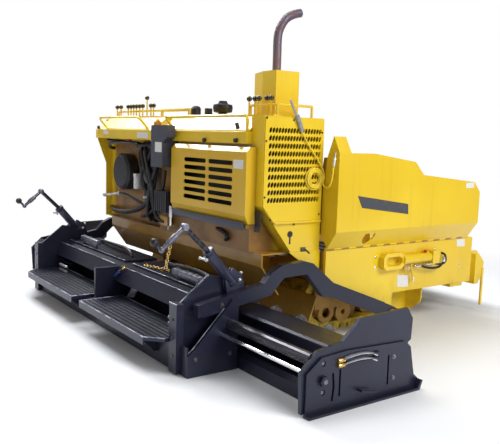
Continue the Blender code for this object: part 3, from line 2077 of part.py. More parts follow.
end_plate = prism(
    "x",
    spread(end_shares, (end_rear, end_low), (end_front, end_high)),
    reach,
    end_outer,
)
pair("extension", union([extension_beam, end_plate]), dark_paint())

# End gates: height screws, slots and an upturned skid
gate_wall = 0.012
gate_inner = end_outer + seat
gate_outer = gate_inner + gate_wall
gate_rear = -1.560
gate_front = -0.783
gate_high = 0.285
skid_width = 0.045
skid_wall = 0.012
skid_front = -0.815
gate_shares = [
    (0, 0), (0, 0.737), (0.116, 0.965), (0.335, 1), (0.849, 0.947),
    (0.907, 0.825), (0.952, 0.281), (0.991, 0.193), (0.978, 0),
]
toe_shares = [
    (0.952, 0), (0.952, 0.042), (0.985, 0.193), (1, 0.175), (0.972, 0),
]
nut_centre = (-1.459, 0.163)
nut_radius = 0.026
nut_height = 0.018
gate_rod_radius = 0.008
gate_rod_sink = 0.002
gate_rod_rear = -1.36
gate_rod_front = -1.10
gate_rod_high = 0.246
gate_rod_low = 0.221
latch_centre = (-1.226, 0.075)
latch_end = (-1.126, 0.055)
latch_radius = 0.006
latch_reach = 0.028
pin_holes = [(-1.458, 0.245), (-1.456, 0.104)]
pin_hole_radius = 0.014
slot_centre = (-1.39, 0.12)
slot_long = 0.07
slot_curve_shares = [(-1, -1), (0, -1), (0.8, 0), (0, 1), (-1, 1), (-0.4, 0)]
slot_wall = 0.012
straight_slots = [(-1.355, 0.066, 0.20), (-1.024, 0.06, 0.215)]
gate_pieces = [
    prism(
        "x",
        spread(gate_shares, (gate_rear, ground), (gate_front, gate_high)),
        gate_inner,
        gate_outer,
    ),
    block((gate_inner, gate_inner + skid_width), (gate_rear, skid_front), (ground, skid_wall)),
    prism(
        "x",
        spread(toe_shares, (gate_rear, ground), (gate_front, gate_high)),
        gate_inner,
        gate_inner + skid_width,
    ),
    disc("x", nut_centre, nut_radius, gate_inner, gate_outer + nut_height, 6),
    rod(
        (gate_outer - run, *latch_centre),
        (gate_outer + latch_reach + latch_radius, *latch_centre),
        latch_radius,
        6,
    ),
    rod((gate_outer + latch_reach, *latch_centre), (gate_outer + latch_reach, *latch_end), latch_radius, 6),
]
for z in (gate_rod_low, gate_rod_high):
    x = gate_outer + gate_rod_radius - gate_rod_sink
    gate_pieces.append(rod((x, gate_rod_rear, z), (x, gate_rod_front, z), gate_rod_radius, 8))
gate_cutters = [
    prism(
        "x",
        spread(
            slot_curve_shares,
            slot_centre,
            (slot_centre[0] + slot_wall, slot_centre[1] + slot_long),
        ),
        gate_inner - run,
        gate_outer + overrun,
    )
]
for centre in pin_holes:
    gate_cutters.append(
        disc("x", centre, pin_hole_radius, gate_inner - run, gate_outer + overrun, 12)
    )
for rear, low, high in straight_slots:
    gate_cutters.append(
        block((gate_inner - run, gate_outer + overrun), (rear, rear + slot_wall), (low, high))
    )
pair("end_gate", carve(union(gate_pieces), gate_cutters), dark_paint())

# The origin moves to the ground under the middle of the overall length
bpy.context.view_layer.update()
solids = [thing for thing in bpy.data.objects if thing.type == "MESH"]
along = [(thing.matrix_world @ vertex.co).y for thing in solids for vertex in thing.data.vertices]
middle = (min(along) + max(along)) / 2
for thing in list(bpy.data.objects):
    thing.location.y -= middle
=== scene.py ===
import math

import bmesh
import bpy
from mathutils import Matrix, Vector


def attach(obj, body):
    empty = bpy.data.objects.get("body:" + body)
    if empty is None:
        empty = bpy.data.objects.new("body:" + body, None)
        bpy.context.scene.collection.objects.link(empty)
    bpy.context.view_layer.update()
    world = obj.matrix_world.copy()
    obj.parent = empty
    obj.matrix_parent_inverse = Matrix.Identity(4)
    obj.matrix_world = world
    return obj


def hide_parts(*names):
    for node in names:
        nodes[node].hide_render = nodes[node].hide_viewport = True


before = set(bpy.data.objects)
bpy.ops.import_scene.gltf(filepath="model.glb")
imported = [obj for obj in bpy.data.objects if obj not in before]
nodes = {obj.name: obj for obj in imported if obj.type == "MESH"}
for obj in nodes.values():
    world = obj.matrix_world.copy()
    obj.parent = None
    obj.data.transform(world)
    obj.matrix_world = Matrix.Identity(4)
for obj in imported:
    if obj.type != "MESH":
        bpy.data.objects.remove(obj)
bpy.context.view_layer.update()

# Places below are measured from the middle of the tracks, and shift takes them into the frame
tracksMiddle = 0.4409818
shift = Vector((0, tracksMiddle, 0))
print("frame loaded")


# Camera, solved from the machine's own edges
camera = {
    "place": (4.2432, -3.52, 1.28),
    "right": (0.57755, 0.81578, 0.03052),
    "up": (-0.11792, 0.04637, 0.99194),
    "back": (0.80779, -0.57650, 0.12298),
    "lens": 48.34,
    "sensor": 36.0,
}
cameraData = bpy.data.cameras.new("camera")
cameraData.lens = camera["lens"]
cameraData.sensor_width = camera["sensor"]
cameraObject = bpy.data.objects.new("camera", cameraData)
bpy.context.scene.collection.objects.link(cameraObject)
turn = Matrix((camera["right"], camera["up"], camera["back"])).transposed()
cameraObject.matrix_world = Matrix.Translation(Vector(camera["place"]) + shift) @ turn.to_4x4()
bpy.context.scene.camera = cameraObject
bpy.context.scene.view_settings.view_transform = "Standard"

# Lamps, and a world that lights softly but is seen white
lamps = [
    {"name": "keyLamp", "place": (6.0, 1.2, 4.2), "size": 2.4, "power": 235, "colour": (1.0, 0.98, 0.95)},
    {"name": "sideLamp", "place": (6.5, -1.5, 2.0), "size": 3.0, "power": 62, "colour": (1.0, 0.99, 0.97)},
    {"name": "backLamp", "place": (-2.5, -6.0, 3.0), "size": 3.5, "power": 34, "colour": (1.0, 0.84, 0.68)},
    {"name": "topLamp", "place": (-0.6, -0.6, 6.0), "size": 3.0, "power": 190, "colour": (1.0, 1.0, 1.0)},
    {"name": "slopeLamp", "place": (-4.8, -0.6, 5.0), "size": 2.6, "power": 330, "colour": (1.0, 1.0, 1.0)},
]
lampAim = Vector((0, -0.2, 0.7))
for lamp in lamps:
    data = bpy.data.lights.new(lamp["name"], "AREA")
    data.size = lamp["size"]
    data.energy = lamp["power"]
    data.color = lamp["colour"]
    lampObject = bpy.data.objects.new(lamp["name"], data)
    bpy.context.scene.collection.objects.link(lampObject)
    lampObject.location = lamp["place"]
    lampObject.rotation_mode = "QUATERNION"
    lampObject.rotation_quaternion = (lampAim - lampObject.location).to_track_quat("-Z", "Y")

sky = {"light": (0.97, 0.97, 0.98, 1), "lightStrength": 0.27, "seen": (1, 1, 1, 1), "seenStrength": 1.0}
world = bpy.data.worlds.new("world")
bpy.context.scene.world = world
world.use_nodes = True
worldTree = world.node_tree
backgroundNode = worldTree.nodes["Background"]
backgroundNode.inputs["Color"].default_value = sky["light"]
backgroundNode.inputs["Strength"].default_value = sky["lightStrength"]
seenNode = worldTree.nodes.new("ShaderNodeBackground")
seenNode.inputs["Color"].default_value = sky["seen"]
seenNode.inputs["Strength"].default_value = sky["seenStrength"]
pathNode = worldTree.nodes.new("ShaderNodeLightPath")
seenMix = worldTree.nodes.new("ShaderNodeMixShader")
worldTree.links.new(pathNode.outputs["Is Camera Ray"], seenMix.inputs[0])
worldTree.links.new(backgroundNode.outputs[0], seenMix.inputs[1])
worldTree.links.new(seenNode.outputs[0], seenMix.inputs[2])
worldTree.links.new(seenMix.outputs[0], worldTree.nodes["World Output"].inputs["Surface"])


# Shader maths
class Wire:  # one socket of a material; sums on it add Math nodes
    def __init__(self, finish, socket):
        self.finish = finish
        self.socket = socket

    def __add__(self, other):
        return self.finish.maths("ADD", self, other)

    __radd__ = __add__

    def __mul__(self, other):
        return self.finish.maths("MULTIPLY", self, other)

    __rmul__ = __mul__

    def __sub__(self, other):
        return self.finish.maths("SUBTRACT", self, other)

    def __rsub__(self, other):
        return self.finish.maths("SUBTRACT", other, self)

    def rise(self, low, high):  # 0 below low, 1 above high, smooth between
        return self.finish.add(
            "ShaderNodeMapRange",
            {"interpolation_type": "SMOOTHSTEP"},
            {"Value": self, "From Min": low, "From Max": high},
        )


class Finish:  # one material and the nodes behind it
    def __init__(self, name, **fixed):
        self.material = bpy.data.materials.new(name)
        self.material.use_nodes = True
        self.tree = self.material.node_tree
        self.shader = self.tree.nodes["Principled BSDF"]
        for socket, value in fixed.items():
            self.shader.inputs[socket.replace("_", " ")].default_value = value
        self.place = self.add("ShaderNodeTexCoord", {}, {}, "Object")

    def add(self, kind, settings, sockets, output=0):
        newNode = self.tree.nodes.new(kind)
        for key, value in settings.items():
            if key == "stops":
                ramp = newNode.color_ramp
                while len(ramp.elements) < len(value):
                    ramp.elements.new(1.0)
                for element, (position, shade) in zip(ramp.elements, value):
                    element.position = position
                    element.color = (*shade, 1)
            else:
                setattr(newNode, key, value)
        for key, value in sockets.items():
            if isinstance(value, Wire):
                self.tree.links.new(value.socket, newNode.inputs[key])
            elif value is not None:
                newNode.inputs[key].default_value = value
        return Wire(self, newNode.outputs[output])

    def maths(self, operation, first, second=0.0):
        return self.add("ShaderNodeMath", {"operation": operation}, {0: first, 1: second})

    def blend(self, factor, first, second):  # colours or values as colours
        sides = {6: first, 7: second}
        ready = {key: (*value, 1) if isinstance(value, tuple) else value for key, value in sides.items()}
        return self.add("ShaderNodeMix", {"data_type": "RGBA"}, {0: factor, **ready}, 2)

    def noise(self, scale, detail=3.0, rough=0.5, stretch=None):
        place = self.place
        if stretch:
            place = self.add("ShaderNodeMapping", {}, {"Vector": self.place, "Scale": stretch})
        return self.add(
            "ShaderNodeTexNoise",
            {"noise_dimensions": "3D"},
            {"Vector": place, "Scale": scale, "Detail": detail, "Roughness": rough},
            "Fac",
        )

    def bands(self, direction, scale):
        return self.add(
            "ShaderNodeTexWave", {"bands_direction": direction}, {"Vector": self.place, "Scale": scale}
        )

    def mask(self, look):  # patches of noise between two edges, from 0 to 1
        return self.noise(*look["noise"]).rise(*look["edge"])

    def relief(self, look, below=None):  # a bump from noise, of a strength and a depth
        return self.bump(self.noise(*look["noise"]), *look["depth"], below)

    def axis(self, name):
        return self.add("ShaderNodeSeparateXYZ", {}, {0: self.place}, name)

    def facing(self, name):
        normal = self.add("ShaderNodeNewGeometry", {}, {}, "Normal")
        return self.add("ShaderNodeSeparateXYZ", {}, {0: normal}, name)

    def bump(self, height, strength, distance, below=None):
        return self.add(
            "ShaderNodeBump",
            {},
            {"Height": height, "Strength": strength, "Distance": distance, "Normal": below},
        )

    def feed(self, **links):
        for socket, value in links.items():
            target = self.shader.inputs[socket.replace("_", " ")]
            if isinstance(value, Wire):
                self.tree.links.new(value.socket, target)
            else:
                target.default_value = value
        return self.material


# Wash hose: from the lance, in a flat coil on the side panel, to its nozzle
washCord = {
    "diameter": 0.0095,
    "fall": [
        (1.1396, -0.94487, 1.33473), (1.1396, -0.93979, 1.32386), (1.1396, -0.93471, 1.31299),
        (1.1396, -0.8900, 1.2540), (1.1396, -0.8250, 1.1800), (1.1396, -0.7769, 1.1179),
        (1.1396, -0.7694, 1.1049), (1.1396, -0.7619, 1.0919),
    ],
    "coilCentre": (-0.831, 1.052),
    "entry": {"turns": 0.25, "radius": 0.0798, "side": 1.1396},
    "inward": {"turns": 3.0, "radius": 0.0693, "side": 1.1321},
    "crossing": {"turns": 0.35, "radius": 0.0390, "side": 1.1321},
    "outward": {"turns": 2.5, "radius": 0.0390, "side": 1.1426},
    "end": {"turns": 0.0, "radius": 0.0643, "side": 1.1426},
    "startAngle": 30.0,
    "pointsPerTurn": 24,
    "tail": [
        (1.1470, -0.770, 1.020), (1.1650, -0.774, 1.003), (1.1870, -0.775, 0.998), (1.2080, -0.773, 1.008),
        (1.2210, -0.769, 1.035), (1.2265, -0.766, 1.075), (1.2291, -0.765, 1.1171), (1.23056, -0.765, 1.1267),
    ],
    "steps": 3,
    "roundness": 3,
}


def deselect():
    bpy.ops.object.select_all(action="DESELECT")


def smoothRoute(points, steps):  # points read from a smooth curve through the given ones
    points = [Vector(point) for point in points]
    route = []
    for index in range(len(points) - 1):
        a, b = points[max(index - 1, 0)], points[index]
        c, d = points[index + 1], points[min(index + 2, len(points) - 1)]
        for step in range(steps):
            t = step / steps
            spot = b + (c - a) * (t / 2)
            spot = spot + (a * 2 - b * 5 + c * 4 - d) * (t * t / 2)
            route.append(spot + (b * 3 - a - c * 3 + d) * (t ** 3 / 2))
    return route + [points[-1]]


def coilPoints(cord):  # one flat spiral in, and one beside it out
    points = []
    angle = math.radians(cord["startAngle"])
    stages = [cord[key] for key in ("entry", "inward", "crossing", "outward", "end")]
    for stage, after in zip(stages, stages[1:]):
        count = max(2, round(stage["turns"] * cord["pointsPerTurn"]))
        for step in range(1, count + 1):
            share = step / count
            radius = stage["radius"] + (after["radius"] - stage["radius"]) * share
            side = stage["side"] + (after["side"] - stage["side"]) * (share if stage["turns"] < 1 else 0)
            turned = angle - math.tau * stage["turns"] * share
            y = cord["coilCentre"][0] + radius * math.cos(turned)
            z = cord["coilCentre"][1] + radius * math.sin(turned)
            points.append(Vector((side, y, z)))
        angle -= math.tau * stage["turns"]
    return points


def roundTube(name, route, radius, roundness):  # a capped tube along a route, as a mesh
    curve = bpy.data.curves.new(name, "CURVE")
    curve.dimensions = "3D"
    curve.bevel_depth = radius
    curve.bevel_resolution = roundness
    curve.use_fill_caps = True
    line = curve.splines.new("POLY")
    line.points.add(len(route) - 1)
    for index, point in enumerate(route):
        line.points[index].co = (*point, 1)
    thing = bpy.data.objects.new(name, curve)
    bpy.context.scene.collection.objects.link(thing)
    deselect()
    thing.select_set(True)
    bpy.context.view_layer.objects.active = thing
    bpy.ops.object.convert(target="MESH")
    return bpy.context.object


coilTurns = coilPoints(washCord)
fall = smoothRoute(washCord["fall"], washCord["steps"])
tail = smoothRoute(coilTurns[-2:] + washCord["tail"], washCord["steps"])[washCord["steps"] + 1:]
washRoute = [point + shift for point in fall + coilTurns + tail]
washPiece = roundTube("washHose", washRoute, washCord["diameter"] / 2, washCord["roundness"])
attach(washPiece, "tractor")
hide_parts("wash_hose", "wash_coil", "wash_tail")
washLength = sum((after - before).length for before, after in zip(washRoute, washRoute[1:]))
print("wash hose laid,", round(washLength, 2), "m")


# Finishes: noise gives size, detail, roughness and stretch, edge where patches start and are full,
# depth a bump's strength and distance, and base the sockets that stay the same all over
yellowPaint = {
    "base": {"Coat_Roughness": 0.08, "IOR": 1.5},
    "lit": (0.84, 0.60, 0.020),
    "deep": (0.75, 0.51, 0.012),
    "grime": (0.20, 0.12, 0.035),
    "grimeTop": 0.55,
    "grimeShare": 0.35,
    "streakShare": 0.10,
    "fineShare": 0.10,
    "rough": 0.30,
    "roughBlotch": 0.10,
    "roughGrime": 0.12,
    "coat": 0.35,
    "coatLoss": 0.25,
    "tones": {"noise": (1.3, 2.0), "edge": (0.35, 0.65)},
    "streaks": {"noise": (1.0, 4.0, 0.6, (24.0, 24.0, 1.6)), "edge": (0.52, 0.78)},
    "blotches": {"noise": (7.0, 6.0, 0.62), "edge": (0.42, 0.70)},
    "fineDirt": {"noise": (60.0, 4.0, 0.6), "edge": (0.45, 0.75)},
    "peel": {"noise": (420.0, 1.0), "depth": (0.05, 0.0004)},
    "waves": {"noise": (5.0, 1.0), "depth": (0.10, 0.004)},
}


def makeYellow(name, look):  # paint that is dirtier low down
    paint = Finish(name, **look["base"])
    tone = paint.blend(paint.mask(look["tones"]), look["deep"], look["lit"])
    lowDown = 1 - paint.axis("Z").rise(0.0, look["grimeTop"])
    blotch = paint.mask(look["blotches"])
    dirt = lowDown * blotch * look["grimeShare"] + paint.mask(look["streaks"]) * look["streakShare"]
    dirt = dirt + paint.mask(look["fineDirt"]) * lowDown * look["fineShare"]
    return paint.feed(
        Base_Color=paint.blend(dirt, tone, look["grime"]),
        Roughness=look["rough"] + blotch * look["roughBlotch"] + lowDown * look["roughGrime"],
        Coat_Weight=look["coat"] - lowDown * look["coatLoss"],
        Normal=paint.relief(look["waves"], paint.relief(look["peel"])),
    )


# painted shade: a copy of the yellow paint in darker ochre tones, with brown patches reaching higher, for
# parts that sit in shadow
paintedShadeTones = {"lit": (0.44, 0.235, 0.024), "deep": (0.34, 0.17, 0.018), "grimeShare": 0.5, "grimeTop": 0.9}
# painted shade: the rear door's yellow in darker, browner tones, as its rear face is in shadow
doorShadeTones = {"lit": (0.74, 0.47, 0.020), "deep": (0.66, 0.40, 0.012)}
bodyYellow = makeYellow("bodyYellow", yellowPaint)
paintedShadeYellow = makeYellow("paintedShadeYellow", {**yellowPaint, **paintedShadeTones})
shadedDoorYellow = makeYellow("shadedDoorYellow", {**yellowPaint, **doorShadeTones})

housing = {
    **yellowPaint,
    # painted shade for the bay behind the hoses: two browns mottled by noise, within the edges below
    "oiled": (0.30, 0.145, 0.020),
    "bayShadeDeep": (0.17, 0.080, 0.014),
    "oil": {"noise": (5.0, 6.0, 0.6), "edge": (0.35, 0.70)},
    "bayRear": (-0.850, -0.810),
    "bayFront": (-0.620, -0.520),
    "baySide": (1.00, 1.09),
    "bayTop": (1.215, 1.262),
}


def makeHousing(name, look):  # yellow outside, painted shade inside the bay behind the hoses, in two browns mottled by noise
    paint = Finish(name, **look["base"])
    tone = paint.blend(paint.mask(look["tones"]), look["deep"], look["lit"])
    oil = paint.mask(look["oil"])
    across = paint.maths("ABSOLUTE", paint.axis("X"))
    inside = paint.axis("Y").rise(*look["bayRear"]) * (1 - paint.axis("Z").rise(*look["bayTop"]))
    inside = inside * (1 - across.rise(*look["baySide"])) * (1 - paint.axis("Y").rise(*look["bayFront"]))
    bayShadeBrown = paint.blend(oil, look["oiled"], look["bayShadeDeep"])
    streaked = paint.mask(look["streaks"]) * look["streakShare"]
    return paint.feed(
        Base_Color=paint.blend(streaked, paint.blend(inside, tone, bayShadeBrown), look["grime"]),
        Roughness=look["rough"] + oil * look["roughBlotch"] + inside * look["roughGrime"],
        Coat_Weight=look["coat"] - inside * look["coatLoss"],
        Normal=paint.relief(look["waves"], paint.relief(look["peel"])),
    )


housingYellow = makeHousing("housingYellow", housing)

darkPaint = {
    "base": {"Coat_Roughness": 0.15, "Specular_Tint": (0.76, 0.81, 1.0, 1)},
    "clean": (0.009, 0.010, 0.023),
    "worn": (0.018, 0.020, 0.044),
    "wornShare": 0.6,
    "dusty": (0.036, 0.038, 0.068),
    "dustShare": 0.10,
    "scuffShare": 0.14,
    "dragShare": 0.12,
    # painted shade: faces turned up are darkened towards this colour
    "topShade": (0.006, 0.007, 0.014),
    "topShare": 0.8,
    "topFaces": (0.2, 0.9),
    "rough": 0.34,
    "roughDirt": 0.5,
    "roughTone": 0.08,
    "roughTop": 0.04,
    "coat": 0.18,
    "coatTop": 0.17,
    "tone": {"noise": (2.2, 3.0), "edge": (0.35, 0.7)},
    "dust": {"noise": (11.0, 6.0, 0.6), "edge": (0.35, 0.75)},
    "scuffs": {"noise": (38.0, 8.0, 0.7), "edge": (0.58, 0.72)},
    "drag": {"noise": (3.0, 5.0, 0.6, (1.0, 14.0, 14.0)), "edge": (0.56, 0.74)},
    "grit": {"noise": (260.0, 2.0), "depth": (0.14, 0.0008)},
    "dents": {"noise": (9.0, 2.0), "depth": (0.16, 0.004)},
}


def makeDark(name, look):  # dark paint with scuffs, dust and less gloss on top, and painted shade that darkens faces turned up
    paint = Finish(name, **look["base"])
    broad = paint.noise(*look["tone"]["noise"])
    tone = paint.blend(broad.rise(*look["tone"]["edge"]) * look["wornShare"], look["clean"], look["worn"])
    up = paint.facing("Z").rise(*look["topFaces"])
    dirt = up * paint.mask(look["dust"]) * look["dustShare"] + paint.mask(look["scuffs"]) * look["scuffShare"]
    dirt = dirt + paint.mask(look["drag"]) * look["dragShare"]
    dusted = paint.blend(dirt, tone, look["dusty"])
    rough = look["rough"] + dirt * look["roughDirt"] + broad * look["roughTone"] - up * look["roughTop"]
    return paint.feed(
        Base_Color=paint.blend(up * look["topShare"], dusted, look["topShade"]),
        Roughness=rough,
        Coat_Weight=look["coat"] - up * look["coatTop"],
        Normal=paint.relief(look["dents"], paint.relief(look["grit"])),
    )


screwLook = {"clean": (0.020, 0.022, 0.045), "worn": (0.045, 0.050, 0.095), "rough": 0.28}
boxLook = {"clean": (0.050, 0.052, 0.070), "worn": (0.066, 0.068, 0.088), "rough": 0.42}
frameDark = makeDark("frameDark", darkPaint)
screwPaint = makeDark("screwPaint", {**darkPaint, **screwLook})
boxDark = makeDark("boxDark", {**darkPaint, **boxLook})


def makeWorn(name, look):  # one colour that turns to another where dust, oil or wear lies
    finish = Finish(name, **look["base"])
    wear = finish.mask(look)
    sockets = {"Base_Color": finish.blend(wear * look["share"], look["clean"], look["worn"])}
    sockets["Roughness"] = look["rough"] + wear * look["roughWear"] if "roughWear" in look else look["rough"]
    if "grain" in look:
        sockets["Normal"] = finish.relief(look["grain"])
    return finish.feed(**sockets)


hoseRubber = makeWorn("hoseRubber", {
    "base": {"IOR": 1.5},
    "clean": (0.007, 0.007, 0.010), "worn": (0.034, 0.033, 0.037), "share": 0.5,
    "noise": (14.0, 6.0, 0.6), "edge": (0.4, 0.75), "rough": 0.42, "roughWear": 0.25,
    "grain": {"noise": (300.0, 2.0), "depth": (0.2, 0.0006)},
})
blackPlastic = makeWorn("blackPlastic", {
    "base": {"IOR": 1.5},
    "clean": (0.009, 0.009, 0.013), "worn": (0.028, 0.028, 0.036), "share": 0.6,
    "noise": (6.0, 4.0), "edge": (0.35, 0.75), "rough": 0.36, "roughWear": 0.2,
    "grain": {"noise": (500.0, 1.0), "depth": (0.12, 0.0003)},
})
brightChrome = makeWorn("brightChrome", {
    "base": {"Metallic": 1.0},
    "clean": (0.82, 0.83, 0.85), "worn": (0.55, 0.55, 0.56), "share": 0.4,
    "noise": (20.0, 4.0), "edge": (0.4, 0.8), "rough": 0.10, "roughWear": 0.15,
})
oiledTube = makeWorn("oiledTube", {
    "base": {"Metallic": 0.6},
    "clean": (0.030, 0.030, 0.042), "worn": (0.10, 0.10, 0.125), "share": 1.0,
    "noise": (8.0, 5.0, 0.6, (0.6, 6.0, 6.0)), "edge": (0.35, 0.75), "rough": 0.16, "roughWear": 0.22,
})
castIron = makeWorn("castIron", {
    "base": {"Metallic": 0.4},
    "clean": (0.05, 0.045, 0.042), "worn": (0.13, 0.12, 0.11), "share": 1.0,
    "noise": (9.0, 5.0), "edge": (0.4, 0.7), "rough": 0.68,
    "grain": {"noise": (150.0, 4.0), "depth": (0.4, 0.001)},
})
lanceGrey = makeWorn("lanceGrey", {
    "base": {"Metallic": 0.3},
    "clean": (0.34, 0.34, 0.38), "worn": (0.16, 0.15, 0.16), "share": 0.5,
    "noise": (40.0, 5.0, 0.6), "edge": (0.45, 0.75), "rough": 0.30, "roughWear": 0.25,
})
brassFitting = makeWorn("brassFitting", {
    "base": {"Metallic": 1.0},
    "clean": (0.80, 0.56, 0.20), "worn": (0.32, 0.20, 0.08), "share": 0.6,
    "noise": (50.0, 5.0), "edge": (0.4, 0.75), "rough": 0.22, "roughWear": 0.3,
})
blankPlate = makeWorn("blankPlate", {
    "base": {"IOR": 1.5},
    "clean": (0.72, 0.72, 0.70), "worn": (0.42, 0.36, 0.24), "share": 0.5,
    "noise": (60.0, 6.0, 0.6), "edge": (0.52, 0.80), "rough": 0.35, "roughWear": 0.3,
})
greyPlate = makeWorn("greyPlate", {
    "base": {"IOR": 1.5},
    "clean": (0.060, 0.062, 0.075), "worn": (0.22, 0.19, 0.10), "share": 0.35,
    "noise": (26.0, 7.0, 0.65), "edge": (0.50, 0.78), "rough": 0.38, "roughWear": 0.2,
})
lightSteel = makeWorn("lightSteel", {
    "base": {"Metallic": 0.7},
    "clean": (0.66, 0.67, 0.70), "worn": (0.28, 0.27, 0.27), "share": 0.6,
    "noise": (30.0, 6.0, 0.6, (0.6, 5.0, 5.0)), "edge": (0.38, 0.72), "rough": 0.28, "roughWear": 0.25,
    "grain": {"noise": (180.0, 3.0), "depth": (0.15, 0.0005)},
})
redCap = makeWorn("redCap", {
    "base": {"IOR": 1.5},
    "clean": (0.50, 0.03, 0.02), "worn": (0.28, 0.02, 0.02), "share": 1.0,
    "noise": (40.0, 4.0), "edge": (0.4, 0.8), "rough": 0.4,
})
greySteel = makeWorn("greySteel", {
    "base": {"Metallic": 0.5},
    "clean": (0.13, 0.135, 0.175), "worn": (0.34, 0.35, 0.42), "share": 1.0,
    "noise": (34.0, 6.0, 0.6), "edge": (0.42, 0.74), "rough": 0.30, "roughWear": 0.2,
    "grain": {"noise": (160.0, 3.0), "depth": (0.2, 0.0006)},
})
# painted highlight: dark steel turning bright bluish in patches, for lines along edges
edgeHighlightSteel = makeWorn("edgeHighlightSteel", {
    "base": {"Metallic": 0.4},
    "clean": (0.06, 0.065, 0.10), "worn": (0.50, 0.54, 0.68), "share": 1.0,
    "noise": (9.0, 6.0, 0.65), "edge": (0.40, 0.62), "rough": 0.32, "roughWear": 0.2,
})
blueBarrel = makeWorn("blueBarrel", {
    "base": {"IOR": 1.5},
    "clean": (0.02, 0.06, 0.30), "worn": (0.04, 0.08, 0.18), "share": 1.0,
    "noise": (40.0, 4.0), "edge": (0.4, 0.7), "rough": 0.4,
})

steelLook = {
    "base": {"Metallic": 0.85},
    "rub": {"noise": (4.0, 5.0, 0.6, (1.0, 9.0, 9.0)), "edge": (0.35, 0.7)},
    "tar": {"noise": (16.0, 6.0, 0.65), "edge": (0.50, 0.70)},
    "dull": (0.075, 0.072, 0.075), "rubbed": (0.22, 0.215, 0.22), "tarred": (0.022, 0.020, 0.020),
    "tarShare": 0.85, "rough": 0.34, "roughTar": 0.35,
    "grain": {"noise": (90.0, 4.0), "depth": (0.25, 0.001)},
}
steel = Finish("wornSteel", **steelLook["base"])
tar = steel.mask(steelLook["tar"])
rubbedSteel = steel.blend(steel.mask(steelLook["rub"]), steelLook["dull"], steelLook["rubbed"])
wornSteel = steel.feed(
    Base_Color=steel.blend(tar * steelLook["tarShare"], rubbedSteel, steelLook["tarred"]),
    Roughness=steelLook["rough"] + tar * steelLook["roughTar"],
    Normal=steel.relief(steelLook["grain"]),
)

coreLook = {
    "base": {"Metallic": 0.2}, "fins": 60.0, "edge": (0.3, 0.7), "rough": 0.6, "depth": (0.6, 0.002),
    "gap": (0.004, 0.004, 0.005), "fin": (0.030, 0.030, 0.034),
}
core = Finish("radiatorCore", **coreLook["base"])
fins = core.bands("Z", coreLook["fins"])
radiatorCore = core.feed(
    Base_Color=core.blend(fins.rise(*coreLook["edge"]), coreLook["gap"], coreLook["fin"]),
    Roughness=coreLook["rough"],
    Normal=core.bump(fins, *coreLook["depth"]),
)

shellLook = {
    "base": {"IOR": 1.5}, "noise": (30.0, 5.0), "edge": (0.5, 0.75), "share": 0.5,
    "clean": (0.78, 0.79, 0.80), "stained": (0.40, 0.38, 0.35),
    "rough": 0.35, "roughNoise": 12.0, "roughSpread": 0.1,
}
shell = Finish("canisterWhite", **shellLook["base"])
stain = shell.mask(shellLook) * shellLook["share"]
canisterWhite = shell.feed(
    Base_Color=shell.blend(stain, shellLook["clean"], shellLook["stained"]),
    Roughness=shellLook["rough"] + shell.noise(shellLook["roughNoise"]) * shellLook["roughSpread"],
)

amberLook = {
    "base": {"IOR": 1.45, "Transmission_Weight": 0.25}, "ribs": 90.0, "edge": (0.2, 0.8), "rough": 0.18,
    "deep": (0.70, 0.26, 0.01), "lit": (0.90, 0.42, 0.04), "depth": (0.4, 0.001),
}
amber = Finish("amberLens", **amberLook["base"])
lensRibs = amber.bands("Z", amberLook["ribs"])
amberLens = amber.feed(
    Base_Color=amber.blend(lensRibs.rise(*amberLook["edge"]), amberLook["deep"], amberLook["lit"]),
    Roughness=amberLook["rough"],
    Normal=amber.bump(lensRibs, *amberLook["depth"]),
)

scorchLook = {
    "base": {"Metallic": 0.55},
    "rust": {"noise": (12.0, 6.0, 0.65), "edge": (0.42, 0.72)},
    "heated": (1.70, 2.08), "cool": (0.20, 0.15, 0.17), "hot": (0.12, 0.10, 0.15),
    "rusty": (0.22, 0.11, 0.08), "rustShare": 0.55, "rough": 0.50, "roughRust": 0.2,
    "grain": {"noise": (140.0, 4.0), "depth": (0.25, 0.0008)},
}
scorch = Finish("scorchedPipe", **scorchLook["base"])
rust = scorch.mask(scorchLook["rust"])
heatTone = scorch.blend(scorch.axis("Z").rise(*scorchLook["heated"]), scorchLook["cool"], scorchLook["hot"])
scorchedPipe = scorch.feed(
    Base_Color=scorch.blend(rust * scorchLook["rustShare"], heatTone, scorchLook["rusty"]),
    Roughness=scorchLook["rough"] + rust * scorchLook["roughRust"],
    Normal=scorch.relief(scorchLook["grain"]),
)

padLook = {
    "base": {"IOR": 1.5},
    "dirt": {"noise": (14.0, 6.0, 0.65), "edge": (0.38, 0.68)},
    "print": {"noise": (70.0, 5.0, 0.6), "edge": (0.45, 0.7)},
    "clean": (0.78, 0.56, 0.04), "dirty": (0.16, 0.11, 0.05), "dirtShare": 0.7, "printShare": 0.2,
    "rough": 0.55, "roughDirt": 0.2, "depth": (0.4, 0.0015),
}
pad = Finish("trackPads", **padLook["base"])
padDirt = pad.mask(padLook["dirt"])
padPrint = pad.mask(padLook["print"])
padMix = padDirt * padLook["dirtShare"] + padPrint * padLook["printShare"]
trackPads = pad.feed(
    Base_Color=pad.blend(padMix, padLook["clean"], padLook["dirty"]),
    Roughness=padLook["rough"] + padDirt * padLook["roughDirt"],
    Normal=pad.bump(padPrint, *padLook["depth"]),
)

washLook = {
    "base": {"IOR": 1.5}, "noise": (24.0, 5.0, 0.6), "edge": (0.40, 0.72), "share": 0.5,
    "clean": (0.88, 0.66, 0.035), "dusty": (0.50, 0.34, 0.05),
    "rough": 0.40, "roughDust": 0.2, "braid": 160.0, "depth": (0.25, 0.0004),
}
washHose = Finish("hoseYellow", **washLook["base"])
washDust = washHose.mask(washLook)
hoseYellow = washHose.feed(
    Base_Color=washHose.blend(washDust * washLook["share"], washLook["clean"], washLook["dusty"]),
    Roughness=washLook["rough"] + washDust * washLook["roughDust"],
    Normal=washHose.bump(washHose.bands("DIAGONAL", washLook["braid"]), *washLook["depth"]),
)
print("finishes made")

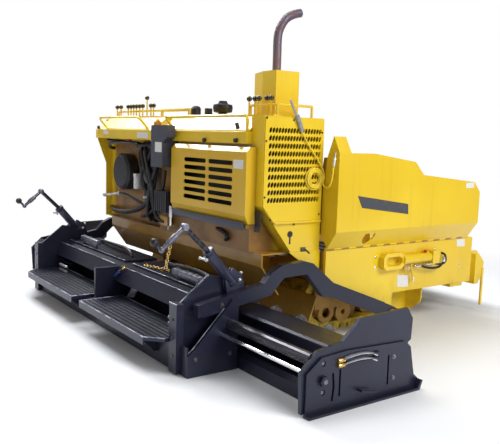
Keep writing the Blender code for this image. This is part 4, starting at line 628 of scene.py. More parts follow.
byNode = {
    bodyYellow: "box_side_right box_side_left side_panel_right side_panel_left exhaust_box lever_bank_left "
    "lever_bank_right push_frame hopper_wing_right hopper_wing_left",
    shadedDoorYellow: "rear_door",
    housingYellow: "engine_housing",
    # these parts take the yellow paint in painted shade
    paintedShadeYellow: "lashing_plate_right lashing_plate_left main_frame track_frame_right track_frame_left "
    "auger_case",
    frameDark: "screed_frame tow_arm_right tow_arm_left walkway_right walkway_left jackscrew_right "
    "jackscrew_left extension_right extension_left end_gate_right end_gate_left",
    boxDark: "control_box",
    wornSteel: "conveyor_right conveyor_left push_roller_right push_roller_left auger_right auger_left",
    oiledTube: "guide_tube_right guide_tube_left",
    brightChrome: "slide_rod_right slide_rod_left lift_ram wash_nozzle",
    blackPlastic: "drum pre_cleaner filler_cap valve_box service_box",
    hoseRubber: "hose_bundle",
    lanceGrey: "wash_lance",
    radiatorCore: "radiator",
    castIron: "engine",
    canisterWhite: "oil_filter",
    amberLens: "beacon",
    scorchedPipe: "exhaust_stack",
    trackPads: "track_right track_left",
}
for material, names in byNode.items():
    for name in names.split():
        for materialSlot in nodes[name].material_slots:
            materialSlot.material = material
washPiece.data.materials.clear()
washPiece.data.materials.append(hoseYellow)
print("frame painted")


# Modelling helpers; places are in the machine's own metres, and a bolt's shape in shares of its size
bothSides = {"right": 1, "left": -1}
boltShape = {"washerHeight": 0.25, "washerRadius": 1.35, "washerCorners": 16, "corners": 6, "edge": 0.12}
hoseShape = {"steps": 4, "roundness": 2}
smoothAngle = 35.0


def soften(thing, width, segments=2):
    modifier = thing.modifiers.new("soften", "BEVEL")
    modifier.width = width
    modifier.segments = segments
    bpy.context.view_layer.objects.active = thing
    bpy.ops.object.modifier_apply(modifier=modifier.name)
    return thing


def slab(low, high, edge=0.0):  # a block between two corners
    deselect()
    size = [after - before for before, after in zip(low, high)]
    centre = [(after + before) / 2 for before, after in zip(low, high)]
    bpy.ops.mesh.primitive_cube_add(size=1, location=centre)
    bpy.ops.transform.resize(value=size)
    bpy.ops.object.transform_apply(location=True, rotation=True, scale=True)
    return soften(bpy.context.object, edge) if edge else bpy.context.object


def bar(start, end, radius, sides=12, edge=0.0):
    deselect()
    start, end = Vector(start), Vector(end)
    turn = (end - start).to_track_quat("Z", "Y").to_euler()
    bpy.ops.mesh.primitive_cylinder_add(
        vertices=sides, radius=radius, depth=(end - start).length, location=(start + end) / 2, rotation=turn
    )
    bpy.ops.object.transform_apply(location=True, rotation=True, scale=True)
    return soften(bpy.context.object, edge) if edge else bpy.context.object


def ball(centre, radius, rings=10):
    deselect()
    bpy.ops.mesh.primitive_uv_sphere_add(segments=2 * rings, ring_count=rings, radius=radius, location=centre)
    bpy.ops.object.transform_apply(location=True, rotation=True, scale=True)
    return bpy.context.object


def ring(centre, direction, radius, thick, sides, tubeSides):
    deselect()
    turn = Vector(direction).to_track_quat("Z", "Y").to_euler()
    bpy.ops.mesh.primitive_torus_add(
        location=centre, rotation=turn, major_radius=radius, minor_radius=thick,
        major_segments=sides, minor_segments=tubeSides,
    )
    bpy.ops.object.transform_apply(location=True, rotation=True, scale=True)
    return bpy.context.object


def pipe(points, radius):
    return roundTube("pipe", smoothRoute(points, hoseShape["steps"]), radius, hoseShape["roundness"])


def bolt(place, normal, radius=0.008, height=0.006):  # a hexagon head on its washer
    place, normal = Vector(place), Vector(normal).normalized()
    washerTop = place + normal * height * boltShape["washerHeight"]
    washer = bar(place, washerTop, radius * boltShape["washerRadius"], boltShape["washerCorners"])
    head = bar(place, place + normal * height, radius, boltShape["corners"], radius * boltShape["edge"])
    return [washer, head]


def bolts(places, normal, radius=0.008, height=0.006):
    return [part for place in places for part in bolt(place, normal, radius, height)]


def thicken(mesh, corners, move):  # a face over the corners, drawn out into a solid
    face = mesh.faces.new([mesh.verts.new(corner) for corner in corners])
    grown = bmesh.ops.extrude_face_region(mesh, geom=[face])
    moved = [part for part in grown["geom"] if isinstance(part, bmesh.types.BMVert)]
    bmesh.ops.translate(mesh, verts=moved, vec=move)


def meshObject(mesh, name):
    bmesh.ops.recalc_face_normals(mesh, faces=mesh.faces)
    data = bpy.data.meshes.new(name)
    mesh.to_mesh(data)
    mesh.free()
    thing = bpy.data.objects.new(name, data)
    bpy.context.scene.collection.objects.link(thing)
    return thing


def outlinePlate(points, axis, low, high, edge=0.0):  # an outline in the plane across the axis, made thick
    order = {"x": (2, 0, 1), "y": (0, 2, 1)}[axis]
    mesh = bmesh.new()
    corners = [[(*pair, low)[place] for place in order] for pair in points]
    thicken(mesh, corners, Vector([(0, 0, high - low)[place] for place in order]))
    thing = meshObject(mesh, "plate")
    return soften(thing, edge) if edge else thing


def sideSpan(side, near, far):  # from low to high, on the right or the left
    return sorted((side * near, side * far))


def mirrored(points, side):
    return [(side * point[0], *point[1:]) for point in points]


def build(parts):  # everything that a piece's dictionary lists, each row as its maker takes it
    things = [slab(*row) for row in parts.get("slabs", [])]
    things += [bar(*row) for row in parts.get("bars", [])]
    things += [pipe(*row) for row in parts.get("pipes", [])]
    things += [outlinePlate(*row) for row in parts.get("plates", [])]
    for row in parts.get("bolts", []):
        things += bolts(*row)
    return things


def settle(name, things, body, material):  # joins, moves into the frame, paints and rides
    deselect()
    for thing in things:
        thing.select_set(True)
    bpy.context.view_layer.objects.active = things[0]
    if len(things) > 1:
        bpy.ops.object.join()
    piece = bpy.context.view_layer.objects.active
    piece.name = name
    bpy.ops.object.transform_apply(location=True, rotation=True, scale=True)
    piece.data.transform(Matrix.Translation(shift))
    bpy.ops.object.shade_smooth_by_angle(angle=math.radians(smoothAngle))
    piece.data.materials.clear()
    piece.data.materials.append(material)
    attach(piece, body)
    return piece


# Side panel with its slanted ovals
panel = {
    "outline": [
        (-1.206, 0.890), (-1.206, 1.408), (-0.810, 1.408), (-0.760, 1.358), (-0.760, 0.795), (-1.128, 0.795),
    ],
    "inner": 1.1238,
    "outer": 1.1263,
    "rows": 10,
    "columns": 18,
    "rear": -1.168,
    "front": -0.792,
    "low": 0.925,
    "high": 1.334,
    "ovalHalf": (0.0093, 0.0172),
    "ovalCorners": 12,
    "lean": -20.0,
    "cutStart": 0.01,
    "cutDepth": 0.03,
    "lip": ((1.1203, -1.128, 0.783), (1.1413, -0.766, 0.795), 0.002),
    "screws": [
        (-1.198, 1.27), (-1.198, 0.944), (-1.150, 0.81), (-0.970, 0.776), (-0.775, 1.33), (-0.775, 0.83),
        (-1.0, 1.397),
    ],
    "screwSize": (0.005, 0.003),
}
grille = outlinePlate(panel["outline"], "x", panel["inner"], panel["outer"])
ovals = bmesh.new()
lean = math.radians(panel["lean"])
for row in range(panel["rows"]):
    for column in range(panel["columns"]):
        y = panel["rear"] + (panel["front"] - panel["rear"]) * column / (panel["columns"] - 1)
        z = panel["low"] + (panel["high"] - panel["low"]) * row / (panel["rows"] - 1)
        corners = []
        for step in range(panel["ovalCorners"]):
            angle = math.tau * step / panel["ovalCorners"]
            along = panel["ovalHalf"][0] * math.cos(angle)
            up = panel["ovalHalf"][1] * math.sin(angle)
            corners.append((
                panel["inner"] - panel["cutStart"],
                y + along * math.cos(lean) - up * math.sin(lean),
                z + along * math.sin(lean) + up * math.cos(lean),
            ))
        thicken(ovals, corners, (panel["cutDepth"], 0, 0))
ovalCutter = meshObject(ovals, "ovals")
cut = grille.modifiers.new("cut", "BOOLEAN")
cut.object = ovalCutter
cut.operation = "DIFFERENCE"
bpy.context.view_layer.objects.active = grille
bpy.ops.object.modifier_apply(modifier=cut.name)
bpy.data.objects.remove(ovalCutter, do_unlink=True)
grillePiece = settle("sidePanelOvals", [grille, slab(*panel["lip"])], "tractor", bodyYellow)
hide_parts("side_panel_right")
panelScrews = bolts([(panel["outer"], *place) for place in panel["screws"]], (1, 0, 0), *panel["screwSize"])
settle("panelScrews", panelScrews, "tractor", blackPlastic)

coverSkirts = {
    "outline": [(-1.000, 0.606), (-0.752, 0.606), (-0.752, 0.455), (-0.800, 0.455), (-0.905, 0.540)],
    "inner": 1.121,
    "outer": 1.126,
    "edge": 0.001,
}
skirts = []
for side in bothSides.values():
    low, high = sideSpan(side, coverSkirts["inner"], coverSkirts["outer"])
    skirts.append(outlinePlate(coverSkirts["outline"], "x", low, high, coverSkirts["edge"]))
settle("coverSkirts", skirts, "tractor", bodyYellow)
print("side panel cut")

# Lever knobs on the console, and the knobs on the fascia below it
leverKnobs = {
    "left": (-1.083, -0.31),
    "leftShares": [0.025, 0.12, 0.30, 0.365, 0.43, 0.495, 0.567, 0.638, 0.82, 0.877],
    "leftPlace": (-1.135, 1.508),
    "tallShare": 0.735,
    "tallPlace": (-1.135, 1.568),
    "right": (0.775, 1.05),
    "rightShares": [0.06, 0.28, 0.43, 0.73, 0.88],
    "rightPlace": (-1.09, 1.525),
    "radius": 0.0172,
}
fasciaKnobs = {
    "bars": [
        ((0.545, -1.252, 1.264), (0.545, -1.270, 1.264), 0.014, 16, 0.003),
        ((0.902, -1.252, 1.268), (0.902, -1.270, 1.268), 0.014, 16, 0.003),
        ((-1.04, -1.302, 1.335), (-1.04, -1.320, 1.335), 0.014, 16, 0.003),
        ((0.93, -1.262, 1.335), (0.93, -1.275, 1.372), 0.012, 12, 0.003),
    ],
}
knobRows = [(leverKnobs["left"], share, leverKnobs["leftPlace"]) for share in leverKnobs["leftShares"]]
knobRows += [(leverKnobs["left"], leverKnobs["tallShare"], leverKnobs["tallPlace"])]
knobRows += [(leverKnobs["right"], share, leverKnobs["rightPlace"]) for share in leverKnobs["rightShares"]]
knobs = []
for (start, end), share, place in knobRows:
    knobs.append(ball((start + (end - start) * share, *place), leverKnobs["radius"]))
settle("blackKnobs", knobs + build(fasciaKnobs), "tractor", blackPlastic)

# Piano hinges of the hopper wings, and a strip of painted shade at each wing's rear edge
hinge = {
    "start": -0.745, "end": 0.64, "count": 22, "side": 1.17, "height": 0.615, "radius": 0.0125, "gap": 0.006,
}
rearShadeStrip = {
    "outline": [(1.085, 0.70), (1.125, 0.70), (1.125, 0.98), (1.155, 1.18), (1.120, 1.18), (1.085, 1.00)],
    "rear": -0.7445,
    "front": -0.7385,
}
pitch = (hinge["end"] - hinge["start"]) / hinge["count"]
for sideName, side in bothSides.items():
    barrels = {"Fixed": [], "Moving": []}
    for index in range(hinge["count"]):
        y = hinge["start"] + pitch * index
        ends = (y + hinge["gap"] / 2, y + pitch - hinge["gap"] / 2)
        start, end = [(side * hinge["side"], place, hinge["height"]) for place in ends]
        barrels["Moving" if index % 2 else "Fixed"].append(bar(start, end, hinge["radius"]))
    settle("hingeFixed_" + sideName, barrels["Fixed"], "tractor", paintedShadeYellow)
    settle("hingeMoving_" + sideName, barrels["Moving"], "wing_" + sideName, bodyYellow)
for sideName, side in bothSides.items():
    strip = outlinePlate(mirrored(rearShadeStrip["outline"], side), "y", rearShadeStrip["rear"], rearShadeStrip["front"])
    settle("wingRearStrip_" + sideName, [strip], "wing_" + sideName, paintedShadeYellow)
print("hinges and knobs made")

# Plates without lettering: outline, the axis across it, and from where to where
wingPlate = {
    "plates": [
        ([(-0.578, 0.950), (-0.118, 0.886), (-0.112, 0.819), (-0.538, 0.874)], "x", 1.2602, 1.2622),
    ],
}
wingLabel = {
    "plates": [([(0.476, 1.018), (0.566, 1.018), (0.566, 0.980), (0.476, 0.980)], "x", 1.2602, 1.2612)],
}
blankLabels = {
    "plates": [
        ([(-0.083, 0.390), (0.028, 0.380), (0.032, 0.297), (-0.078, 0.307)], "x", 1.1702, 1.1712),
        ([(0.530, 0.598), (0.622, 0.595), (0.628, 0.540), (0.536, 0.545)], "x", 1.1702, 1.1712),
        ([(0.014, 1.238), (0.112, 1.238), (0.112, 1.170), (0.014, 1.170)], "y", -1.3362, -1.3352),
        ([(-0.970, 1.312), (-0.870, 1.306), (-0.870, 1.276), (-0.970, 1.282)], "y", -1.3012, -1.3002),
        ([(-0.345, 1.304), (-0.165, 1.304), (-0.165, 1.262), (-0.345, 1.262)], "y", -1.3012, -1.3002),
    ],
}
doorLabel = {
    "plates": [([(0.918, 1.155), (1.020, 1.155), (1.020, 1.102), (0.918, 1.102)], "y", -1.2812, -1.2802)],
}
settle("wingPlate", build(wingPlate), "wing_right", greyPlate)
settle("wingLabel", build(wingLabel), "wing_right", blankPlate)
settle("blankLabels", build(blankLabels), "tractor", blankPlate)
settle("doorLabel", build(doorLabel), "door", blankPlate)

# Cylinder fittings on the box side
sideFittings = {
    "bars": [
        ((1.212, 0.038, 0.449), (1.212, 0.101, 0.449), 0.011, 12, 0.002),
        ((1.205, 0.161, 0.452), (1.205, 0.248, 0.452), 0.012, 12, 0.002),
        ((1.212, 0.345, 0.455), (1.212, 0.345, 0.492), 0.012, 6, 0.002),
        ((1.199, 0.048, 0.341), (1.199, 0.050, 0.372), 0.0085, 12, 0.001),
    ],
    "bolts": [
        ([(1.17, -0.30, 0.53), (1.17, -0.30, 0.46), (1.17, 0.30, 0.54), (1.17, 0.58, 0.40)],
         (1, 0, 0), 0.007, 0.005),
    ],
}
sideValve = {
    "slabs": [((1.18, -0.064, 0.428), (1.215, 0.0, 0.470), 0.004)],
    "bars": [((1.2, -0.03, 0.44), (1.2, 0.012, 0.41), 0.008, 12)],
}
sideHoses = {
    "pipes": [
        ([(1.212, 0.101, 0.449), (1.214, 0.15, 0.432), (1.216, 0.22, 0.420), (1.214, 0.30, 0.424),
          (1.212, 0.345, 0.455)], 0.008),
        ([(1.206, 0.248, 0.452), (1.210, 0.29, 0.443), (1.212, 0.335, 0.440), (1.211, 0.368, 0.462),
          (1.20, 0.372, 0.50), (1.168, 0.372, 0.51)], 0.008),
    ],
}
portCaps = {
    "bars": [
        ((1.199, 0.16, 0.535), (1.199, 0.16, 0.550), 0.013, 12, 0.002),
        ((-0.563, -1.262, 1.236), (-0.563, -1.262, 1.262), 0.022, 16, 0.004),
    ],
}
settle("sideFittings", build(sideFittings), "tractor", brightChrome)
settle("sideValve", build(sideValve), "tractor", brassFitting)
settle("sideHoses", build(sideHoses), "tractor", hoseRubber)
settle("portCaps", build(portCaps), "tractor", redCap)

# Keyhole and latch on the side cover
coverMarks = {
    "slabs": [((1.118, -0.998, 0.655), (1.1216, -0.987, 0.712), 0.001)],
    "bars": [
        ((1.119, -0.993, 0.716), (1.1216, -0.993, 0.716), 0.020, 24),
        ((1.112, -1.198, 1.403), (1.1275, -1.198, 1.403), 0.008, 12),
    ],
}
coverLatch = {
    "slabs": [((1.1203, -0.905, 0.603), (1.128, -0.870, 0.630), 0.002)],
    "bars": [((1.124, -0.885, 0.625), (1.124, -0.838, 0.590), 0.006, 10)],
}
settle("coverMarks", build(coverMarks), "tractor", blackPlastic)
settle("coverLatch", build(coverLatch), "tractor", castIron)

# Tread ribs of the low deck and of the walkways; the deck's first ribs end at its cut corner
treads = {
    "deck": {"ribs": 9, "rear": -1.885, "depth": 0.265, "inner": 0.085, "outer": 1.085, "top": 0.186},
    "walkway": {"ribs": 8, "rear": -1.505, "depth": 0.215, "inner": 0.08, "outer": 1.125, "top": 0.400},
    "cornerReach": [1.0, 1.04],
    "ribHeight": 0.0045,
    "ribHalf": 0.0035,
    "sunk": 0.001,
}
ribs = []
for side in bothSides.values():
    for treadName in ("deck", "walkway"):
        tread = treads[treadName]
        reaches = [tread["outer"]] * tread["ribs"]
        if treadName == "deck":
            reaches[:2] = treads["cornerReach"]
        for index, reach in enumerate(reaches):
            y = tread["rear"] + tread["depth"] * index / (tread["ribs"] - 1)
            inner, outer = sideSpan(side, tread["inner"], reach)
            low = (inner, y - treads["ribHalf"], tread["top"] - treads["sunk"])
            ribs.append(slab(low, (outer, y + treads["ribHalf"], tread["top"] + treads["ribHeight"])))
pocketPlate = {
    "plates": [([(-0.47, 0.632), (-0.36, 0.632), (-0.36, 0.70), (-0.47, 0.70)], "x", 1.162, 1.166)],
}
settle("pocketPlate", build(pocketPlate), "wing_right", paintedShadeYellow)
settle("treadRibs", ribs, "screed", frameDark)

# Bolts on the screed's rear wall and sides
screedBolts = {
    "rear": [(0.12 + 0.16 * index, -1.77, 0.065) for index in range(7)],
    "post": [(1.145, -1.80, 0.10), (1.145, -1.80, 0.20), (1.145, -1.80, 0.30)],
    "sideLow": [(1.26, -1.72, 0.10), (1.26, -1.50, 0.10)],
    "sideLowSize": (0.011, 0.008),
    "sideHigh": [(1.2397, -1.55, 0.37), (1.2397, -1.48, 0.34)],
    "sideHighSize": (0.012, 0.009),
}
screedHeads = []
for side in bothSides.values():
    screedHeads += bolts(mirrored(screedBolts["rear"] + screedBolts["post"], side), (0, -1, 0))
    screedHeads += bolts(mirrored(screedBolts["sideLow"], side), (side, 0, 0), *screedBolts["sideLowSize"])
    screedHeads += bolts(mirrored(screedBolts["sideHigh"], side), (side, 0, 0), *screedBolts["sideHighSize"])
settle("screedBolts", screedHeads, "screed", wornSteel)

# Thickness screws: clevis, spring barrel, screw, wing bolts and crank; places are y and z
screw = {
    "side": 1.169,
    "clevis": [
        (-1.475, 0.385), (-1.495, 0.500), (-1.445, 0.560), (-1.385, 0.520), (-1.345, 0.400), (-1.40, 0.386),
    ],
    "clevisPlates": [(1.1525, 1.1605), (1.1775, 1.1870)],
    "clevisEdge": 0.002,
    "barrel": [
        ((-1.595, 0.655), (-1.440, 0.475), 0.0300, 24, 0.005),
        ((-1.606, 0.668), (-1.590, 0.649), 0.0335, 24, 0.003),
        ((-1.452, 0.489), (-1.436, 0.470), 0.0335, 24, 0.003),
        ((-1.885, 0.690), (-1.925, 0.729), 0.009, 12),
    ],
    "tube": [((-1.745, 0.800), (-1.60, 0.661), 0.0150, 16)],
    "casting": [
        ((-1.75, 0.805), (-1.885, 0.690), 0.0120, 16, 0.003),
        ((-1.800, 0.762), (-1.850, 0.720), 0.0175, 16, 0.005),
    ],
    "head": {"place": (-1.75, 0.805), "half": 0.020, "radius": 0.0200, "sides": 20, "edge": 0.004},
    "elbow": {"place": (-1.885, 0.690), "radius": 0.017},
    "wings": [(-1.630, 0.622), (-1.408, 0.492)],
    "wingEnds": (1.136, 1.202),
    "wingBar": (0.0065, 10, 0.001),
    "wingBall": (0.0105, 8),
    "handle": (0.030, 0.032),
    "handleBar": (0.0065, 10),
    "handleBall": (0.0100, 8),
    "grip": {"place": (-1.9284, 0.7325), "radius": 0.0235, "rings": 12},
}


def screwBars(x, rows):
    return [bar((x, *start), (x, *end), *size) for start, end, *size in rows]


for sideName, side in bothSides.items():
    x = side * screw["side"]
    screwBody = screwBars(x, screw["barrel"])
    for near, far in screw["clevisPlates"]:
        screwBody.append(outlinePlate(screw["clevis"], "x", side * near, side * far, screw["clevisEdge"]))
    screwPiece = settle("screwBarrel_" + sideName, screwBody, "screed", screwPaint)
    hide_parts("jackscrew_" + sideName)
    settle("screwTube_" + sideName, screwBars(x, screw["tube"]), "screed", oiledTube)
    head, elbow, grip = screw["head"], screw["elbow"], screw["grip"]
    start, end = [(x + move, *head["place"]) for move in (-head["half"], head["half"])]
    casting = screwBars(x, screw["casting"])
    casting.append(bar(start, end, head["radius"], head["sides"], head["edge"]))
    casting.append(ball((x, *elbow["place"]), elbow["radius"]))
    settle("crankCasting_" + sideName, casting, "screed", greySteel)
    wings = []
    for y, z in screw["wings"]:
        near, far = [(side * place, y, z) for place in screw["wingEnds"]]
        handle = (x, y + screw["handle"][0], z + screw["handle"][1])
        wings.append(bar(near, far, *screw["wingBar"]))
        wings += [ball(place, *screw["wingBall"]) for place in (near, far)]
        wings.append(bar((x, y, z), handle, *screw["handleBar"]))
        wings.append(ball(handle, *screw["handleBall"]))
    settle("wingBolts_" + sideName, wings, "screed", lightSteel)
    gripBall = ball((x, *grip["place"]), grip["radius"], grip["rings"])
    settle("crankBall_" + sideName, [gripBall], "screed", blackPlastic)

# Painted highlights: bright bluish lines along the edges of the treads and side plates, in patches
edgeHighlights = {
    "radius": 0.0028,
    "sides": 8,
    "lines": [
        ((0.07, -1.9085, 0.186), (1.01, -1.9085, 0.186)), ((1.01, -1.9085, 0.186), (1.0985, -1.820, 0.186)),
        ((0.07, -1.603, 0.188), (1.10, -1.603, 0.188)), ((0.07, -1.9085, 0.186), (0.07, -1.61, 0.186)),
        ((0.06, -1.600, 0.3865), (1.13, -1.600, 0.3865)), ((0.062, -1.518, 0.400), (1.128, -1.518, 0.400)),
        ((0.062, -1.272, 0.400), (1.128, -1.272, 0.400)), ((1.14, -1.760, 0.385), (1.14, -1.585, 0.523)),
        ((1.2395, -1.765, 0.122), (1.2395, -1.725, 0.155)),
        ((1.2395, -1.725, 0.155), (1.2395, -1.532, 0.353)),
        ((1.105, -1.7995, 0.390), (1.185, -1.7995, 0.390)),
    ],
}
edges = []
for side in bothSides.values():
    for line in edgeHighlights["lines"]:
        edges.append(bar(*mirrored(line, side), edgeHighlights["radius"], edgeHighlights["sides"]))
settle("edgeHighlights", edges, "screed", edgeHighlightSteel)

# Pedals, tube ends and a bar on feet, on each side of the screed
rearPedals = {
    "outline": [(0.150, 0.190), (0.262, 0.214), (0.392, 0.343), (0.286, 0.334)],
    "rear": -1.6085,
    "front": -1.6015,
    "edge": 0.002,
}
tubeEnds = {"from": 0.840, "to": 1.000, "y": -1.655, "heights": (0.190, 0.226), "size": (0.011, 14, 0.002)}
deckBar = {
    "from": (0.60, -1.512, 0.425), "to": (0.92, -1.472, 0.465), "edge": 0.007,
    "feet": (0.64, 0.88), "footWide": 0.014, "footRear": -1.502, "footFront": -1.482,
    "footLow": 0.399, "footHigh": 0.428, "footEdge": 0.002,
    "bolts": [(0.645, -1.492, 0.465), (0.760, -1.492, 0.465), (0.875, -1.492, 0.465)],
    "boltSize": (0.009, 0.007),
}
pedals, tubes, barParts = [], [], []
for side in bothSides.values():
    outline = mirrored(rearPedals["outline"], side)
    pedals.append(outlinePlate(outline, "y", rearPedals["rear"], rearPedals["front"], rearPedals["edge"]))
    for z in tubeEnds["heights"]:
        start, end = [(side * tubeEnds[key], tubeEnds["y"], z) for key in ("from", "to")]
        tubes.append(bar(start, end, *tubeEnds["size"]))
    low, high = deckBar["from"], deckBar["to"]
    inner, outer = sideSpan(side, low[0], high[0])
    barParts.append(slab((inner, *low[1:]), (outer, *high[1:]), deckBar["edge"]))
    for foot in deckBar["feet"]:
        inner, outer = sideSpan(side, foot, foot + deckBar["footWide"])
        low = (inner, deckBar["footRear"], deckBar["footLow"])
        barParts.append(slab(low, (outer, deckBar["footFront"], deckBar["footHigh"]), deckBar["footEdge"]))
    barParts += bolts(mirrored(deckBar["bolts"], side), (0, 0, 1), *deckBar["boltSize"])
settle("rearPedals", pedals, "screed", greySteel)
settle("tubeEnds", tubes, "screed", lightSteel)
settle("deckBar", barParts, "screed", greySteel)

deckHoses = {
    "pipes": [
        ([(0.86, -1.40, 0.40), (0.850, -1.395, 0.432), (0.79, -1.39, 0.448), (0.66, -1.385, 0.452),
          (0.53, -1.38, 0.445), (0.40, -1.37, 0.430), (0.28, -1.35, 0.418), (0.20, -1.33, 0.40)], 0.0125),
        ([(0.82, -1.35, 0.40), (0.79, -1.345, 0.425), (0.66, -1.335, 0.435), (0.50, -1.325, 0.428),
          (0.34, -1.31, 0.418), (0.22, -1.295, 0.40)], 0.0105),
        ([(-0.16, -1.42, 0.40), (-0.20, -1.415, 0.430), (-0.33, -1.40, 0.445), (-0.52, -1.39, 0.440),
          (-0.70, -1.37, 0.430), (-0.86, -1.35, 0.420), (-0.98, -1.34, 0.40)], 0.0125),
    ],
}
settle("deckHoses", build(deckHoses), "screed", hoseRubber)

# Keeper chains: wide, thick and pitch are shares of a link's size
keeperChains = {
    "link": 0.017,
    "wide": 0.52,
    "thick": 0.17,
    "pitch": 1.15,
    "corners": (12, 8),
    "steps": 12,
    "routes": [
        [(1.168, -1.832, 0.722), (1.150, -1.835, 0.660), (1.136, -1.838, 0.610), (1.128, -1.840, 0.580)],
        [(0.37, -1.455, 0.409), (0.32, -1.47, 0.412), (0.25, -1.485, 0.410), (0.19, -1.492, 0.409)],
        [(0.37, -1.455, 0.409), (0.40, -1.44, 0.412), (0.46, -1.45, 0.410)],
    ],
}


def chain(points, look):  # round links along a route, each turned a quarter from the last
    route = smoothRoute(points, look["steps"])
    link = look["link"]
    links = []
    travelled, due, turned = 0.0, 0.0, False
    for before, after in zip(route, route[1:]):
        travelled += (after - before).length
        if travelled < due:
            continue
        along = (after - before).normalized()
        across = along.cross(Vector((0, 1, 0))).normalized()
        facing = across if turned else along.cross(across)
        links.append(ring(after, facing, link * look["wide"], link * look["thick"], *look["corners"]))
        due += link * look["pitch"]
        turned = not turned
    return links


chains = [link for route in keeperChains["routes"] for link in chain(route, keeperChains)]
settle("keeperChains", chains, "screed", brassFitting)
stayEnds = {
    "bars": [
        ((0.150, -1.618, 0.400), (0.085, -1.624, 0.360), 0.009, 10, 0.002),
        ((0.010, -1.630, 0.314), (-0.053, -1.640, 0.275), 0.009, 10, 0.002),
    ],
}
stayBarrel = {"bars": [((0.085, -1.624, 0.360), (0.010, -1.630, 0.314), 0.012, 12, 0.002)]}
settle("stayEnds", build(stayEnds), "screed", brassFitting)
settle("stayBarrel", build(stayBarrel), "screed", blueBarrel)

# Hoses and fittings of the rear recess
recessHoses = {
    "pipes": [
        ([(-0.10, -1.245, 1.12), (-0.15, -1.25, 0.98), (-0.19, -1.255, 0.84), (-0.36, -1.255, 0.735),
          (-0.62, -1.25, 0.678), (-0.90, -1.225, 0.662), (-1.10, -1.16, 0.668)], 0.0175),
        ([(-0.074, -1.245, 1.18), (-0.13, -1.26, 1.02), (-0.19, -1.27, 0.88), (-0.235, -1.26, 0.72),
          (-0.25, -1.22, 0.655)], 0.0165),
        ([(-0.20, -1.24, 1.20), (-0.24, -1.262, 1.08), (-0.20, -1.268, 0.94), (-0.13, -1.255, 0.84),
          (-0.10, -1.215, 0.78)], 0.0145),
        ([(0.00, -1.245, 1.04), (-0.02, -1.25, 0.92), (-0.08, -1.255, 0.80), (-0.22, -1.25, 0.708),
          (-0.38, -1.235, 0.668), (-0.45, -1.18, 0.66)], 0.0125),
        ([(-0.30, -1.235, 1.12), (-0.345, -1.25, 1.02), (-0.33, -1.255, 0.91), (-0.24, -1.25, 0.84),
          (-0.16, -1.24, 0.78), (-0.13, -1.215, 0.72)], 0.0155),
        ([(-0.80, -1.235, 0.808), (-0.68, -1.24, 0.812), (-0.54, -1.245, 0.800), (-0.42, -1.235, 0.775),
          (-0.36, -1.21, 0.75)], 0.0125),
        ([(0.58, -1.160, 0.695), (0.64, -1.205, 0.702), (0.71, -1.224, 0.699), (0.775, -1.230, 0.685),
          (0.785, -1.226, 0.662), (0.74, -1.205, 0.645), (0.68, -1.160, 0.640)], 0.0125),
    ],
}
recessSteel = {
    "bars": [
        ((-1.09, -1.235, 0.772), (-0.80, -1.235, 0.808), 0.0095, 12, 0.002),
        ((-1.10, -1.235, 0.7705), (-1.075, -1.235, 0.7738), 0.0145, 12, 0.002),
        ((-0.81, -1.235, 0.8068), (-0.775, -1.235, 0.811), 0.0160, 12, 0.002),
        ((-0.325, -1.245, 0.818), (-0.262, -1.245, 0.826), 0.0125, 12, 0.002),
    ],
}
recessDark = {
    "slabs": [
        ((-0.335, -1.246, 1.03), (-0.175, -1.205, 1.115), 0.006),
        ((-0.480, -1.242, 1.175), (-0.100, -1.205, 1.215), 0.005),
    ],
    "bars": [
        ((-1.02, -1.235, 1.235), (-0.46, -1.235, 1.222), 0.0120, 12),
        ((-0.255, -1.205, 0.985), (-0.255, -1.262, 0.985), 0.060, 24, 0.008),
        ((-0.255, -1.262, 0.985), (-0.255, -1.272, 0.985), 0.040, 24, 0.003),
    ],
}
liftBracket = {"slabs": [((-0.041, -1.262, 0.648), (0.075, -1.236, 0.716), 0.004)]}
hingeCover = {"slabs": [((0.165, -1.2795, 0.744), (1.030, -1.2720, 0.790), 0.002)]}
openingShade = {
    "plates": [
        ([(1.056, 0.735), (1.100, 0.735), (1.117, 0.775), (1.117, 0.860), (1.056, 0.860)],
         "y", -1.2145, -1.2103),
    ],
}
settle("recessHoses", build(recessHoses), "tractor", hoseRubber)
settle("recessSteel", build(recessSteel), "tractor", lightSteel)
settle("recessDark", build(recessDark), "tractor", blackPlastic)
settle("liftBracket", build(liftBracket), "tractor", paintedShadeYellow)
settle("hingeCover", build(hingeCover), "door", boxDark)
settle("openingShade", build(openingShade), "tractor", blackPlastic)
print("screed details made")

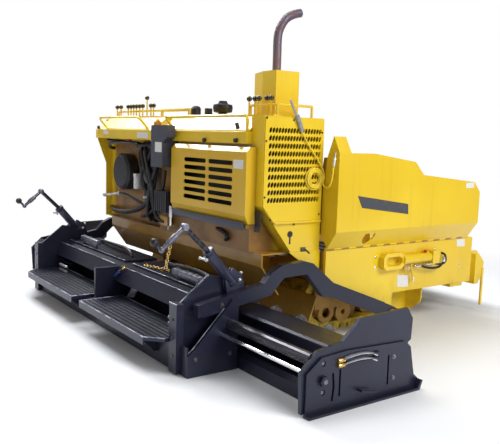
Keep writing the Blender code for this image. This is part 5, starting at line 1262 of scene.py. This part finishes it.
# End gates: two bent rods with brass ends, and the nut and pins of the clamp
endGate = {
    "side": 1.9887,
    "rodHeights": (0.219, 0.246),
    "rodRadius": 0.0075,
    "rodBend": [(-1.340, 0.0), (-1.290, 0.011), (-1.210, 0.014), (-1.150, 0.004), (-1.110, -0.012)],
    "brassHeights": (0.221, 0.246),
    "brassEnds": (-1.372, -1.330),
    "brassSize": (0.011, 12, 0.002),
    "pinStart": 1.976,
    "pins": [
        {"place": (-1.459, 0.163), "end": 2.006, "radius": 0.013},
        {"place": (-1.458, 0.245), "end": 1.979, "radius": 0.010},
        {"place": (-1.456, 0.104), "end": 1.979, "radius": 0.010},
    ],
    "pinShape": (16, 0.002),
    "bolts": [(1.9823, -0.98, 0.20), (1.9823, -0.98, 0.09)],
    "boltSize": (0.009, 0.007),
}
for sideName, side in bothSides.items():
    x = side * endGate["side"]
    rods, brass, gateSteel = [], [], []
    for z in endGate["rodHeights"]:
        rods.append(pipe([(x, y, z + rise) for y, rise in endGate["rodBend"]], endGate["rodRadius"]))
    for z in endGate["brassHeights"]:
        start, end = [(x, y, z) for y in endGate["brassEnds"]]
        brass.append(bar(start, end, *endGate["brassSize"]))
    for pin in endGate["pins"]:
        start, end = [(side * reach, *pin["place"]) for reach in (endGate["pinStart"], pin["end"])]
        gateSteel.append(bar(start, end, pin["radius"], *endGate["pinShape"]))
    gateSteel += bolts(mirrored(endGate["bolts"], side), (side, 0, 0), *endGate["boltSize"])
    settle("gateRods_" + sideName, rods, "extender_" + sideName, brightChrome)
    settle("gateBrass_" + sideName, brass, "extender_" + sideName, brassFitting)
    settle("gateSteel_" + sideName, gateSteel, "extender_" + sideName, greySteel)
print("end gates finished")

# Floor, pale and seen white further away
ground = {
    "size": 60.0,
    "height": -0.0005,
    "base": {"Roughness": 0.9, "Specular_IOR_Level": 0.1},
    "tones": {"noise": (0.7, 3.0), "edge": (0.3, 0.7)},
    "shade": (0.83, 0.85, 0.89),
    "light": (0.85, 0.87, 0.905),
    "white": (2.3, 4.2),
}
deselect()
bpy.ops.mesh.primitive_plane_add(size=ground["size"], location=(0, 0, ground["height"]))
floor = bpy.context.object
floor.name = "floor"
pale = Finish("paleFloor", **ground["base"])
pale.feed(Base_Color=pale.blend(pale.mask(ground["tones"]), ground["shade"], ground["light"]))
distance = pale.add("ShaderNodeVectorMath", {"operation": "LENGTH"}, {0: pale.place}, "Value")
glow = pale.add("ShaderNodeEmission", {}, {"Color": (1, 1, 1, 1), "Strength": 1.0}, "Emission")
seen = pale.add("ShaderNodeLightPath", {}, {}, "Is Camera Ray") * distance.rise(*ground["white"])
lit = Wire(pale, pale.shader.outputs[0])
floorMix = pale.add("ShaderNodeMixShader", {}, {0: seen, 1: lit, 2: glow}, "Shader")
pale.tree.links.new(floorMix.socket, pale.tree.nodes["Material Output"].inputs["Surface"])
floor.data.materials.append(pale.material)
print("floor laid")
